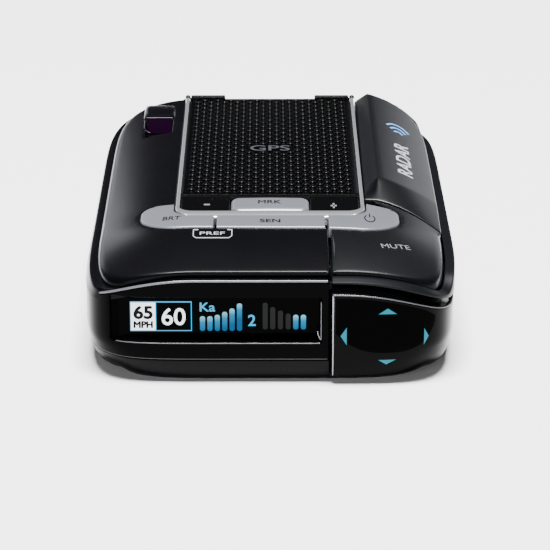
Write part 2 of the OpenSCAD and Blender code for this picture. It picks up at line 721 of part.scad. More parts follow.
module rf_shield() {
    color([0.72, 0.73, 0.75]) difference() {
        span([-12, 1], [-14, 22], [board_z[1], board_z[1] + 4]);
        span([-11.6, 0.6], [-13.6, 21.6], [board_z[1] - 1, board_z[1] + 3.6]);
    }
}

horn_mid = 9;
horn_throat = 7;
horn_mouth = 19;
horn_y = [32, 65.1];
horn_z = [board_z[1] + 0.6, 18.4];
module horn_antenna() {
    skin = 0.8;
    color([0.74, 0.75, 0.76]) {
        difference() {
            plan([[horn_mid - horn_throat, horn_y[0]], [horn_mid + horn_throat, horn_y[0]],
                [horn_mid + horn_mouth, horn_y[1]], [horn_mid - horn_mouth, horn_y[1]]], horn_z);
            plan([[horn_mid - horn_throat + skin, horn_y[0] + skin], [horn_mid + horn_throat - skin,
                horn_y[0] + skin],
                [horn_mid + horn_mouth - skin, horn_y[1] + skin], [horn_mid - horn_mouth + skin,
                    horn_y[1] + skin]],
                [horn_z[0] + skin, horn_z[1] - skin]);
        }
        for (x = [-5, 5]) peg(horn_mid + x, horn_y[0] + 10, 1.5, [board_z[1], horn_z[0]]);
    }
}

module horn_amplifier() {
    color([0.66, 0.67, 0.7]) span([2, 16], [25.2, horn_y[0]], [board_z[1] + 0.6, 16]);
}

module speaker_basket() {
    color([0.35, 0.35, 0.37]) difference() {
        peg(speaker_spot[0], speaker_spot[1], speaker_r, [floor_z, 11]);
        peg(speaker_spot[0], speaker_spot[1], speaker_r - 1, [floor_z - 1, 7]);
    }
}

module speaker_cone() {
    color([0.12, 0.12, 0.12]) translate([speaker_spot[0], speaker_spot[1], 0]) rotate_extrude()
        polygon([[0, 6.4], [4, 6.4], [speaker_r - 1.2, 3], [speaker_r - 1.2, 3.8], [4.2, 7], [0, 7]]);
}

gps_mid_y = 18;
module gps_board() {
    color([0.04, 0.28, 0.2]) {
        span([-14, 14], [gps_mid_y - 14, gps_mid_y + 14], [20.6, 21.6]);
        for (x = [-13, 13]) for (y = [-13, 13]) peg(x, gps_mid_y + y, 0.9, [21.6, tray_z[0]]);
    }
}
module gps_patch() {
    color([0.85, 0.8, 0.68]) span([-11.5, 11.5], [gps_mid_y - 11.5, gps_mid_y + 11.5], [21.6, 25.6]);
}

module rear_laser_sensor() {
    color([0.08, 0.08, 0.09]) span([-32.5, -27.7], [52.2, 58], [21, 27]);
}
module front_laser_sensor() {
    color([0.08, 0.08, 0.09]) span([-31, -23], [60.6, 64.5], [board_z[1], 16]);
}

module display_module() {
    color([0.12, 0.12, 0.14]) span([sight_x[0] - 1.2, sight_x[1] + 0.9], [-61.9, -59.6], [sight_z[0] - 1.8,
        sight_z[1]]);
}

module display_ribbon() {
    color([0.75, 0.5, 0.15]) profile([[-59.6, 14], [-59.6, 13], [-56, 9.9], [-50, 8.9], [-46, board_z[1]],
        [-44, board_z[1]], [-44, 9], [-50, 9.3], [-56, 10.3], [-59.3, 13.2], [-59.3, 14]], [-20, -4]);
}

arrow_board_y = [-58, -56.8];
module arrow_board() {
    color([0.04, 0.3, 0.15]) span([16, 38.4], arrow_board_y, [4.4, 19.4]);
}
module arrow_leds() {
    color([0.9, 0.95, 0.95]) for (w = arrow_places) let (x = arrow_mid[0] + 0.94*arrow_reach[0]*w[0],
        z = arrow_mid[1] + arrow_reach[1]*w[1]*0.95)
        span([x - 0.8, x + 0.8], [arrow_board_y[0] - 0.9, arrow_board_y[0]], [z - 0.8, z + 0.8]);
}

// ---- sockets on the left side ----
module power_jack() {
    color([0.12, 0.12, 0.12]) difference() {
        span([port_x, -27.5], jack_y, jack_z);
        span([-far, -31.2], jack_hole_y, jack_hole_z);
    }
}
module usb_port() {
    color([0.7, 0.7, 0.72]) difference() {
        span([port_x, -34], usb_y, usb_z);
        span([-far, -36], [usb_y[0] + 0.9, usb_y[1] - 0.9], [usb_z[0] + 0.7, usb_z[1] - 0.6]);
    }
}
module phone_jack() {
    color([0.1, 0.1, 0.1]) difference() {
        union() {
            span([port_x + 0.4, port_x + phone_l + 2], [phone_y - 3.2, phone_y + 3.2], [board_z[1],
                phone_z + 3.2]);
            translate([port_x + 0.5, phone_y, phone_z]) rotate([0, -90, 0]) cylinder(h = 1.8, r = 3.2);
        }
        translate([port_x + phone_l - 1.3, phone_y, phone_z]) rotate([0, -90, 0]) cylinder(h = phone_l,
            r = phone_r);
    }
}

// ---- fasteners and plate ----
module screw(x, y, head_r, head_z, tip_z, r) {
    difference() {
        union() {
            peg(x, y, head_r, head_z);
            peg(x, y, r, [min(head_z[0], tip_z), max(head_z[1], tip_z)]);
        }
        span([x - head_r, x + head_r], [y - 0.3, y + 0.3], head_z[0] < tip_z ? [head_z[0] - 1,
            head_z[0] + 0.6]
            : [head_z[1] - 0.6, head_z[1] + 1]);
    }
}
module case_screws() {
    color([0.3, 0.3, 0.32]) for (p = boss_spots) screw(p[0], p[1], 2.3, [2.6, 4], 17, screw_r);
}
module board_screws() {
    color([0.75, 0.75, 0.77]) for (p = post_spots) screw(p[0], p[1], 1.8, [board_z[1], 9.6], 3.5, 0.85);
}
module rating_plate() {
    color([0.5, 0.5, 0.52]) span([-20.9, 20.9], [30.1, 53.9], [0.05, plate_t]);
}

bottom_case();
front_bezel();
display_lens();
arrow_panel();
arrow_up();
arrow_down();
arrow_left();
arrow_right();
side_strip();
top_cover();
hump_cover();
trim_frame();
texture_pad();
strip_tray();
key_minus();
key_mark();
key_plus();
key_brightness();
key_sensitivity();
key_power();
key_mute();
mute_carrier();
laser_window();
radome();
front_laser_lens();
mount_channel();
mount_magnets();
key_frame();
key_board();
switch_bodies();
plunger_minus();
plunger_mark();
plunger_plus();
plunger_brightness();
plunger_sensitivity();
plunger_power();
plunger_mute();
main_board();
board_chips();
rf_shield();
horn_antenna();
horn_amplifier();
speaker_basket();
speaker_cone();
gps_board();
gps_patch();
rear_laser_sensor();
front_laser_sensor();
display_module();
display_ribbon();
arrow_board();
arrow_leds();
power_jack();
usb_port();
phone_jack();
case_screws();
board_screws();
rating_plate();
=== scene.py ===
import json
import math

import bmesh
import bpy
import numpy as np
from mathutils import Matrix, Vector
from mathutils.geometry import delaunay_2d_cdt


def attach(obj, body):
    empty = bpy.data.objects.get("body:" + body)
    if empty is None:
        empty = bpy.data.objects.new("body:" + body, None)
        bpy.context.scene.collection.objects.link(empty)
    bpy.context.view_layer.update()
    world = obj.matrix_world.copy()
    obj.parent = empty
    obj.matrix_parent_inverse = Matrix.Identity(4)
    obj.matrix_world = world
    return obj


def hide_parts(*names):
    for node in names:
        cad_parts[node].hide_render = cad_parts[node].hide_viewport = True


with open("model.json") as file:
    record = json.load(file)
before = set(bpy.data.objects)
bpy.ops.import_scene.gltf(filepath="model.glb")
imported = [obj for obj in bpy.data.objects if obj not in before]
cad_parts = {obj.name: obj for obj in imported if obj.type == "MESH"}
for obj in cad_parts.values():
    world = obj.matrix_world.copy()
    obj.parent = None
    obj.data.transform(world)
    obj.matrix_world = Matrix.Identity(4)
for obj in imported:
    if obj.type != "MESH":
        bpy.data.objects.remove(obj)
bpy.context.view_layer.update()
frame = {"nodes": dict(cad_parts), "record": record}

MM = 0.001
HALF_W = 44.85
REAR_Y = 67.95
TRIM_X = 23.3
KEY_GAP = 0.25
SPLIT_X = 14.2
WRAP_Y = -50.0
STRIP_REAR_Y = 58.0
CHIN_Z = 5.9


# ---- shape of the deck, the hump and the outlines: the same formulas as the part's ----
def ramp(v):
    return np.maximum(0.0, v)


def deck_line(y):
    return 31.2 + 0.0115 * ramp(y + 26) - 0.0062 * ramp(-36 - y) ** 2


def deck_z(x, y):
    return deck_line(y) - (5.1 - 0.01 * y) * (ramp(np.abs(x) - 17) / 26) ** 2.2


def lip_z(x):
    return deck_z(x, -64.0) - 0.55


def soft_min(a, b, width):
    return 0.5 * (a + b - np.sqrt((a - b) ** 2 + width ** 2))


def hump_near_y(x):
    return -21.2 - 0.036 * (x - 23.55) ** 2


def hump_z(x, y):
    left = 34.5 - 0.95 * (27.0 - x)
    right = 34.5 - 0.30 * (x - 27.0) - 0.0125 * (x - 27.0) ** 2 * (x > 27)
    back = soft_min(left, right, 0.35) + 0.06
    near = hump_near_y(np.minimum(x, 42.1))
    foot = deck_z(x, near)
    part = ramp(-13.0 - y) / (-13.0 - near)
    soft = np.where(part < 0.06, part * part / 0.12, part - 0.03)
    return back * (1 - soft) + foot * soft


class Loop:
    """A closed superellipse in plan, measured by the distance along it, anticlockwise from the rear middle."""

    def __init__(self, a, front, rear, n_front, n_rear):
        top = []
        for b, n, sign in ((rear, n_rear, 1), (front, n_front, -1)):
            y = b * np.linspace(0, 1, 1500)
            x = a * (1 - (y / b) ** n) ** (1 / n)
            xs = a * np.linspace(0, 1, 1500)
            ys = b * (1 - (xs / a) ** n) ** (1 / n)
            quarter = np.column_stack([np.concatenate([x, xs]), np.concatenate([y, ys])])
            order = np.argsort(np.arctan2(quarter[:, 1] / b, quarter[:, 0] / a))
            top.append((quarter[order] * [1, sign], sign))
        back, front_q = top[0][0], top[1][0]
        left_back = back[::-1] * [-1, 1]
        path = [left_back, front_q * [-1, 1], front_q[::-1], back]
        pts = np.concatenate(path)
        keep = np.concatenate([[True], np.linalg.norm(np.diff(pts, axis=0), axis=1) > 1e-4])
        pts = pts[keep]
        if np.linalg.norm(pts[-1] - pts[0]) > 1e-4:
            pts = np.vstack([pts, pts[:1]])
        self.length_at = np.concatenate([[0], np.cumsum(np.linalg.norm(np.diff(pts, axis=0), axis=1))])
        self.length = self.length_at[-1]
        self.points = pts
        s = np.linspace(0, self.length, 2001)
        p = np.column_stack([np.interp(s, self.length_at, pts[:, k]) for k in (0, 1)])
        run = np.roll(p[:-1], -1, axis=0) - np.roll(p[:-1], 1, axis=0)
        n = np.column_stack([run[:, 1], -run[:, 0]])
        n = n / np.linalg.norm(n, axis=1)[:, None]
        self.s = s
        self.normals = np.vstack([n, n[:1]])

    def at(self, s):
        s = np.asarray(s, float) % self.length
        p = np.column_stack([np.interp(s, self.length_at, self.points[:, k]) for k in (0, 1)])
        n = np.column_stack([np.interp(s, self.s, self.normals[:, k]) for k in (0, 1)])
        return p, n / np.linalg.norm(n, axis=1)[:, None]

    def near(self, x, y):
        """Distance along the loop of its point nearest (x, y)."""
        return float(self.length_at[np.argmin(np.hypot(self.points[:, 0] - x, self.points[:, 1] - y))])

    def piece(self, s0, s1, step):
        s = np.linspace(s0, s1, max(2, int(abs(s1 - s0) / step) + 1))
        return self.at(s)[0]


body_loop = Loop(HALF_W, 66.5, REAR_Y, 7.5, 6.5)
panel_loop = Loop(HALF_W - 0.05, REAR_Y, REAR_Y, 7.5, 6.5)
cover_loop = Loop(HALF_W - 0.25, 64.4, REAR_Y - 0.15, 8.5, 6.5)
crown_loop = Loop(HALF_W - 3.15, 63.0, REAR_Y - 0.7, 10, 6.5)
mute_loop = Loop(HALF_W - 3.1, 62.9, 62.9, 12, 12)
strip_loop = Loop(HALF_W - 0.15, 66.3, REAR_Y, 9, 6.5)


# ---- mesh helpers; lengths in millimetres until the mesh is made ----
def collect(name, points, faces, material, body, stands_for=(), sharp=32.0, weld=True):
    mesh = bpy.data.meshes.new(name)
    mesh.from_pydata((np.asarray(points, float) * MM).tolist(), [], [list(map(int, f)) for f in faces])
    if weld:
        bm = bmesh.new()
        bm.from_mesh(mesh)
        bmesh.ops.remove_doubles(bm, verts=bm.verts, dist=0.004 * MM)
        bm.to_mesh(mesh)
        bm.free()
    mesh.polygons.foreach_set("use_smooth", [True] * len(mesh.polygons))
    mesh.set_sharp_from_angle(angle=math.radians(sharp))
    mesh.materials.append(material)
    obj = bpy.data.objects.new(name, mesh)
    bpy.context.scene.collection.objects.link(obj)
    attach(obj, body)
    if stands_for:
        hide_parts(*stands_for)
    return obj


class Shape:
    """Points and faces gathered for one piece."""

    def __init__(self):
        self.points, self.faces, self.count = [], [], 0

    def add(self, points, faces):
        self.points.append(np.asarray(points, float))
        self.faces += [tuple(i + self.count for i in f) for f in faces]
        self.count += len(points)
        return self

    def make(self, name, material, body, slot_name, stands_for=(), sharp=32.0):
        return collect(name, np.vstack(self.points), self.faces, material, body, stands_for,
                       sharp)


def dense(points, step, closed=True):
    """The outline with extra points on its long edges; its own corners stay."""
    points = [np.asarray(p, float) for p in points]
    ends = points[1:] + (points[:1] if closed else [])
    out = []
    for a, b in zip(points, ends):
        n = max(1, int(np.ceil(np.linalg.norm(b - a) / step)))
        out += [a + (b - a) * k / n for k in range(n)]
    if not closed:
        out.append(points[-1])
    return np.array(out)


def arc(cx, cy, r, start, end, n=14):
    t = np.radians(np.linspace(start, end, n + 1))
    return [np.array([cx + r * math.cos(a), cy + r * math.sin(a)]) for a in t]


def inside(points, outline):
    x, y = points[:, 0][:, None], points[:, 1][:, None]
    x0, y0 = outline[:, 0][None], outline[:, 1][None]
    x1, y1 = np.roll(outline[:, 0], -1)[None], np.roll(outline[:, 1], -1)[None]
    crosses = ((y0 > y) != (y1 > y)) & (x < (x1 - x0) * (y - y0) / (y1 - y0 + 1e-30) + x0)
    return crosses.sum(axis=1) % 2 == 1


def clearance(points, outline):
    best = np.full(len(points), 1e9)
    for k in range(0, len(outline), 200):
        part = outline[k:k + 200]
        d = np.hypot(points[:, 0][:, None] - part[:, 0], points[:, 1][:, None] - part[:, 1])
        best = np.minimum(best, d.min(axis=1))
    return best


def inward(outline):
    ahead = np.roll(outline, -1, axis=0) - outline
    ahead /= np.linalg.norm(ahead, axis=1)[:, None] + 1e-12
    behind = np.roll(ahead, 1, axis=0)
    n = np.column_stack([-(ahead[:, 1] + behind[:, 1]), ahead[:, 0] + behind[:, 0]])
    n /= np.linalg.norm(n, axis=1)[:, None] + 1e-12
    flat = np.column_stack([-ahead[:, 1], ahead[:, 0]])
    return n / np.clip((n * flat).sum(axis=1), 0.6, 1)[:, None]


def fillet(r, n=4, start=0.0):
    t = np.radians(np.linspace(0, 90, n + 1))
    return [(start + r * (1 - math.cos(a)), r * (1 - math.sin(a))) for a in t]


def skin(shape, outline, place, edge, step, holes=(), foot=None):
    """Adds a smooth skin over an outline. place(points, drop) gives its surface; edge is one list of (inset, drop)
    steps for every outline point, or a list of such lists; foot(points) is where the outer wall ends."""
    rings_2d = []
    for k, ring in enumerate([outline, *[h[0] for h in holes]]):
        ring = np.asarray(ring, float)
        rolls = edge if k == 0 else holes[k - 1][1]
        rolls = np.array(rolls, float)
        if rolls.ndim == 2:
            rolls = np.repeat(rolls[None], len(ring), axis=0)
        n = inward(ring)
        base = shape.count
        levels = [ring + n * rolls[:, j, 0][:, None] for j in range(rolls.shape[1])]
        layers = [place(level, rolls[:, j, 1]) for j, level in enumerate(levels)]
        wall = foot if k == 0 else holes[k - 1][2]
        if wall is not None:
            layers.insert(0, wall(ring))
        m = len(ring)
        faces = []
        for j in range(len(layers) - 1):
            for i in range(m):
                a, b = j * m + i, j * m + (i + 1) % m
                faces.append((a, b, b + m, a + m))
        shape.add(np.vstack(layers), faces)
        rings_2d.append(levels[-1])
    lo, hi = rings_2d[0].min(axis=0), rings_2d[0].max(axis=0)
    gx, gy = np.meshgrid(np.arange(lo[0] + step / 2, hi[0], step), np.arange(lo[1] + step / 2, hi[1], step))
    grid = np.column_stack([gx.ravel(), gy.ravel()])
    ok = inside(grid, rings_2d[0]) & (clearance(grid, rings_2d[0]) > 0.45 * step)
    for hole in rings_2d[1:]:
        ok &= ~inside(grid, hole) & (clearance(grid, hole) > 0.45 * step)
    grid = grid[ok]
    verts, edges = [], []
    for ring in rings_2d:
        start = len(verts)
        verts += [Vector(p) for p in ring]
        edges += [(start + i, start + (i + 1) % len(ring)) for i in range(len(ring))]
    verts += [Vector(p) for p in grid]
    flat, _, tris, *_ = delaunay_2d_cdt(verts, edges, [], 0, 1e-5)
    flat = np.array([(v.x, v.y) for v in flat])
    tris = np.array([t for t in tris if len(t) == 3])
    mids = flat[tris].mean(axis=1)
    keep = inside(mids, rings_2d[0])
    for hole in rings_2d[1:]:
        keep &= ~inside(mids, hole)
    tris = tris[keep]
    a, b, c = flat[tris[:, 0]], flat[tris[:, 1]], flat[tris[:, 2]]
    area = (b[:, 0] - a[:, 0]) * (c[:, 1] - a[:, 1]) - (b[:, 1] - a[:, 1]) * (c[:, 0] - a[:, 0])
    tris = tris[np.abs(area) > 1e-9]
    area = area[np.abs(area) > 1e-9]
    tris[area < 0] = tris[area < 0][:, ::-1]
    shape.add(place(flat, np.zeros(len(flat))), [tuple(t) for t in tris])
    return shape


def on_top(height):
    """Surface function of a piece that lies under z = height(x, y)."""
    return lambda p, drop: np.column_stack([p, height(p[:, 0], p[:, 1]) - drop])


def down_to(z):
    return lambda p: np.column_stack([p,
                                      np.broadcast_to(z(p[:, 0], p[:, 1]) if callable(z) else z, len(p))])


def brick(shape, x, y, z, bevel=0.0):
    """A box with its vertical corners and its top edges softened."""
    r = max(bevel, 0.01)
    outline = np.array([p for c in ((x[1] - r, y[0] + r, 270), (x[1] - r, y[1] - r, 0),
                                    (x[0] + r, y[1] - r, 90),
                                    (x[0] + r, y[0] + r, 180)) for p in arc(c[0], c[1], r, c[2], c[2] + 90,
                                                                            4)])
    return skin(shape, outline, lambda p, d: np.column_stack([p, z[1] - d]), fillet(r, 3), 50.0,
                foot=down_to(z[0]))


# ---- materials: each is procedural, with fine noise in its colour and finish ----
BLOTCH_SCALE = 90.0
GRAIN_SCALE = 2500.0
GRAIN_DEPTH = 0.00004


def finish(name, colour, rough, specular=0.5, metal=0.0, grain=0.0, glow=0.0, vary=0.04):
    material = bpy.data.materials.new(name)
    material.use_nodes = True
    nodes, links = material.node_tree.nodes, material.node_tree.links
    shader = nodes["Principled BSDF"]
    shader.inputs["Metallic"].default_value = metal
    shader.inputs["Specular IOR Level"].default_value = specular
    coords = nodes.new("ShaderNodeTexCoord")
    noise = nodes.new("ShaderNodeTexNoise")
    noise.inputs["Scale"].default_value = BLOTCH_SCALE
    noise.inputs["Detail"].default_value = 3.0
    links.new(coords.outputs["Object"], noise.inputs["Vector"])
    spread = nodes.new("ShaderNodeMapRange")
    spread.inputs["To Min"].default_value = max(0.02, rough * (1 - 2 * vary))
    spread.inputs["To Max"].default_value = rough * (1 + 2 * vary)
    links.new(noise.outputs["Fac"], spread.inputs["Value"])
    links.new(spread.outputs["Result"], shader.inputs["Roughness"])
    mix = nodes.new("ShaderNodeMix")
    mix.data_type = "RGBA"
    mix.inputs["A"].default_value = (*[c * (1 - vary) for c in colour], 1)
    mix.inputs["B"].default_value = (*[min(1, c * (1 + vary)) for c in colour], 1)
    links.new(noise.outputs["Fac"], mix.inputs["Factor"])
    if glow:
        shader.inputs["Base Color"].default_value = (0.002, 0.002, 0.0025, 1)
        links.new(mix.outputs["Result"], shader.inputs["Emission Color"])
        shader.inputs["Emission Strength"].default_value = glow
    else:
        links.new(mix.outputs["Result"], shader.inputs["Base Color"])
    if grain:
        fine = nodes.new("ShaderNodeTexNoise")
        fine.inputs["Scale"].default_value = GRAIN_SCALE
        fine.inputs["Detail"].default_value = 2.0
        links.new(coords.outputs["Object"], fine.inputs["Vector"])
        bump = nodes.new("ShaderNodeBump")
        bump.inputs["Strength"].default_value = grain
        bump.inputs["Distance"].default_value = GRAIN_DEPTH
        links.new(fine.outputs["Fac"], bump.inputs["Height"])
        links.new(bump.outputs["Normal"], shader.inputs["Normal"])
    return material


def bar_glow(name, low, middle, high, y0, y1):
    """A lit colour for bars that lean a little: it runs from low at depth y0 to high at depth y1."""
    material = finish(name, low, 0.4, 0.05, glow=1.0)
    nodes, links = material.node_tree.nodes, material.node_tree.links
    coords = nodes.new("ShaderNodeTexCoord")
    parts = nodes.new("ShaderNodeSeparateXYZ")
    span = nodes.new("ShaderNodeMapRange")
    span.inputs["From Min"].default_value = y0 * MM
    span.inputs["From Max"].default_value = y1 * MM
    ramp = nodes.new("ShaderNodeValToRGB")
    ramp.color_ramp.elements[0].color = (*low, 1)
    ramp.color_ramp.elements[1].color = (*high, 1)
    ramp.color_ramp.elements[1].position = 0.95
    ramp.color_ramp.elements.new(0.62).color = (*middle, 1)
    links.new(coords.outputs["Object"], parts.inputs["Vector"])
    links.new(parts.outputs["Y"], span.inputs["Value"])
    links.new(span.outputs["Result"], ramp.inputs["Fac"])
    links.new(ramp.outputs["Color"], nodes["Principled BSDF"].inputs["Emission Color"])
    return material


def dim_where_facing(material, axis, full, dim, specular):
    """Lowers the gloss of faces whose normal passes from full to dim along one axis."""
    nodes, links = material.node_tree.nodes, material.node_tree.links
    surface = nodes.new("ShaderNodeNewGeometry")
    parts = nodes.new("ShaderNodeSeparateXYZ")
    span = nodes.new("ShaderNodeMapRange")
    shader = nodes["Principled BSDF"]
    span.inputs["From Min"].default_value = full
    span.inputs["From Max"].default_value = dim
    span.inputs["To Min"].default_value = shader.inputs["Specular IOR Level"].default_value
    span.inputs["To Max"].default_value = specular
    links.new(surface.outputs["Normal"], parts.inputs["Vector"])
    links.new(parts.outputs[axis], span.inputs["Value"])
    links.new(span.outputs["Result"], shader.inputs["Specular IOR Level"])


looks = {
    "case_shell": finish("case_plastic", (0.0016, 0.0016, 0.002), 0.26, 0.05, grain=0.05),
    "gloss_front": finish("front_gloss", (0.0004, 0.0004, 0.0006), 0.12, 0.015),
    "screen_glass": finish("screen_dark", (0.0003, 0.0003, 0.0004), 0.08, 0.01),
    "arrow_lens": finish("arrow_cyan", (0.012, 0.42, 0.58), 0.3, 0.1, glow=0.9),
    "satin_grey": finish("strip_satin", (0.0035, 0.0037, 0.0047), 0.34, 0.08, grain=0.1),
    "cover_satin": finish("cover_plastic", (0.0012, 0.0012, 0.0018), 0.24, 0.3, grain=0.05),
    "hump_satin": finish("hump_plastic", (0.0022, 0.0022, 0.003), 0.34, 0.26, grain=0.1),
    "bright_trim": finish("trim_bright", (0.62, 0.625, 0.65), 0.2, 0.6, metal=0.84),
    "pad_texture": finish("pad_rubber", (0.0008, 0.0008, 0.0010), 0.24, 0.07, grain=0.05),
    "strip_black": finish("strip_gloss", (0.001, 0.001, 0.0012), 0.2, 0.2),
    "satin_key": finish("key_satin", (0.135, 0.14, 0.16), 0.34, 0.6, metal=0.35, grain=0.15),
    "laser_filter": finish("laser_violet", (0.005, 0.0006, 0.006), 0.08, 0.3),
    "radome_black": finish("radome_matt", (0.005, 0.005, 0.0055), 0.45, 0.1),
    "inner_frame": finish("inner_plastic", (0.10, 0.10, 0.11), 0.5, 0.4),
    "magnet": finish("magnet_plated", (0.6, 0.6, 0.62), 0.3, 0.5, metal=1.0),
    "switch_housing": finish("switch_ivory", (0.62, 0.62, 0.56), 0.45, 0.4),
    "switch_plunger": finish("plunger_tan", (0.70, 0.62, 0.48), 0.4, 0.4),
    "circuit_board": finish("board_green", (0.002, 0.010, 0.005), 0.4, 0.3, vary=0.15),
    "chip_package": finish("chip_black", (0.03, 0.03, 0.032), 0.5, 0.4),
    "shield_steel": finish("shield_tin", (0.62, 0.63, 0.66), 0.3, 0.5, metal=1.0),
    "cast_horn": finish("horn_cast", (0.60, 0.61, 0.62), 0.42, 0.5, metal=1.0, grain=0.3),
    "speaker_frame": finish("speaker_paint", (0.12, 0.12, 0.13), 0.45, 0.4),
    "speaker_paper": finish("speaker_pulp", (0.05, 0.05, 0.05), 0.8, 0.2, grain=0.5),
    "patch_ceramic": finish("patch_cream", (0.62, 0.55, 0.40), 0.5, 0.4),
    "module_black": finish("module_plastic", (0.04, 0.04, 0.045), 0.5, 0.4),
    "ribbon": finish("ribbon_film", (0.42, 0.20, 0.04), 0.3, 0.5),
    "led": finish("led_milk", (0.75, 0.78, 0.75), 0.3, 0.5),
    "jack_plastic": finish("jack_black", (0.02, 0.02, 0.02), 0.4, 0.4),
    "usb_shell": finish("usb_plated", (0.6, 0.6, 0.62), 0.25, 0.5, metal=1.0),
    "case_screw": finish("screw_black", (0.10, 0.10, 0.11), 0.35, 0.5, metal=0.9),
    "board_screw": finish("screw_plated", (0.62, 0.62, 0.64), 0.3, 0.5, metal=1.0),
    "plate_film": finish("plate_grey", (0.20, 0.20, 0.21), 0.5, 0.4),
}
print_white = finish("print_white", (0.30, 0.305, 0.32), 0.5, 0.3, vary=0.01)
print_soft = finish("print_soft", (0.035, 0.036, 0.042), 0.35, 0.4)
print_dark = finish("print_dark", (0.0015, 0.0015, 0.002), 0.5, 0.05)
# lighter greys for the thin edge beads, brightest to dimmest: they paint highlight lines on edges
painted_highlight_bright = finish("painted_highlight_bright", (0.20, 0.20, 0.23), 0.22, 0.8)
painted_highlight_soft = finish("painted_highlight_soft", (0.07, 0.071, 0.08), 0.25, 0.6)
painted_highlight_mid = finish("painted_highlight_mid", (0.035, 0.036, 0.042), 0.25, 0.7)
painted_highlight_dim = finish("painted_highlight_dim", (0.010, 0.010, 0.012), 0.25, 0.6)
panel_gloss = finish("panel_gloss", (0.0006, 0.0006, 0.0008), 0.14, 0.03)
mute_satin = finish("mute_plastic", (0.0022, 0.0022, 0.003), 0.28, 0.5, grain=0.1)
print_mute = finish("print_mute", (0.13, 0.13, 0.14), 0.5, 0.2, vary=0.01)
# matt black for the window recess walls, and for the sheet that paints a darker reflection on the arrow panel
recess_and_painted_reflection_black = finish("recess_and_painted_reflection_black", (0.0003, 0.0003, 0.0004), 0.6, 0.01)
print_grey = finish("print_grey", (0.003, 0.0032, 0.004), 0.4, 0.1)
glow_white = finish("glow_white", (0.86, 0.92, 0.95), 0.5, 0.1, glow=3.0, vary=0.01)
glow_cyan = finish("glow_cyan", (0.04, 0.50, 0.88), 0.5, 0.1, glow=1.3, vary=0.01)
LENS_Y = -63.1
BAR_FRONT, BAR_LEAN, BAR_FADE = 0.17, 0.02, 4.2
bar_blue = bar_glow("bar_blue", (0.0, 0.145, 0.36), (0.01, 0.33, 0.66), (0.32, 0.92, 1.1),
                    LENS_Y - BAR_FRONT + BAR_LEAN * BAR_FADE, LENS_Y - BAR_FRONT)
bar_grey = finish("bar_grey", (0.04, 0.042, 0.04), 0.5, 0.05, glow=0.45)

# lowered gloss by facing: on the front roll of the cover and the mute key it paints a dimmer highlight; on the
# hump's left-facing wall it paints shade
dim_where_facing(looks["cover_satin"], "Y", -0.3, -0.6, 0.05)
dim_where_facing(mute_satin, "Y", -0.3, -0.6, 0.05)
dim_where_facing(looks["hump_satin"], "X", -0.12, -0.35, 0.02)

node_slot = {s["node"]: s["material_slot"] for s in frame["record"]["subparts"]}
for node_name, obj in frame["nodes"].items():
    obj.data.materials.clear()
    obj.data.materials.append(looks[node_slot[node_name]])

sharp_edge = [(0.0, 0.03), (0.03, 0.0)]
crown_roll = [(0.0, 1.85), (0.04, 1.3), (0.14, 0.85), (0.32, 0.48), (0.6, 0.22), (0.95, 0.08), (1.4, 0.015),
              (2.0, 0.0)]
tight_roll = [(0.0, 1.85), (0.02, 1.3), (0.05, 0.8), (0.1, 0.42), (0.2, 0.2), (0.38, 0.08), (0.7, 0.02),
              (1.1, 0.0)]


def matched(edge, n):
    """The edge steps brought to n steps, so that one outline can carry two kinds of edge."""
    edge = np.array(edge, float)
    t = np.linspace(0, len(edge) - 1, n)
    return np.column_stack([np.interp(t, np.arange(len(edge)), edge[:, k]) for k in (0, 1)])


# ---- outlines of the keys and of the bright frame ----
bright_outline = arc(-27.2, -29.5, 4.7, 85, 180) + arc(-22.1, -32.7, 9.8, 180, 270, 20) \
    + [np.array([-13.55, -42.6]), np.array([-13.55, -34.15])] + arc(-18.3, -28.9, 5.25, 270, 180) \
    + [np.array([-23.55, -25.0])]
sens_outline = [np.array(p) for p in ((-13.15, -42.6), (0.0, -42.8), (13.5, -42.9), (13.5, -34.15),
                                      (-13.15, -34.15))]
power_outline = [np.array([23.55, -24.6])] + arc(18.3, -28.9, 5.25, 360, 270) \
    + [np.array([14.0, -34.15]), np.array([14.0, -43.2])] + arc(22.1, -34.0, 9.7, 270, 360, 20) \
    + arc(27.2, -30.4, 4.6, 0, 62, 8)


# ---- thin beads whose lighter colour paints highlight lines along edges ----
def bead_line(name, path, r, material, slot_name, sides=8):
    path = np.asarray(path, float)
    along = np.gradient(path, axis=0)
    along /= np.linalg.norm(along, axis=1)[:, None]
    upright = np.abs(along[:, 2]) > 0.8
    side = np.cross(along, np.where(upright[:, None], [1.0, 0.0, 0.0], [0.0, 0.0, 1.0]))
    side /= np.linalg.norm(side, axis=1)[:, None]
    other = np.cross(side, along)
    angles = np.linspace(0, 2 * math.pi, sides, endpoint=False)
    radii = np.broadcast_to(r, len(path))
    pts = np.vstack([p + k * (math.cos(a) * u + math.sin(a) * v) for p, u, v,
                     k in zip(path, side, other, radii)
                     for a in angles])
    pts = pts.reshape(-1, 3)
    faces = [(j * sides + i, j * sides + (i + 1) % sides, (j + 1) * sides + (i + 1) % sides,
              (j + 1) * sides + i)
             for j in range(len(path) - 1) for i in range(sides)]
    caps = [tuple(range(sides))[::-1], tuple((len(path) - 1) * sides + i for i in range(sides))]
    return Shape().add(pts, faces + caps).make(name, material, "case", slot_name, (), 60.0)


# ---- top cover ----
LEDGE_DROP = 1.9


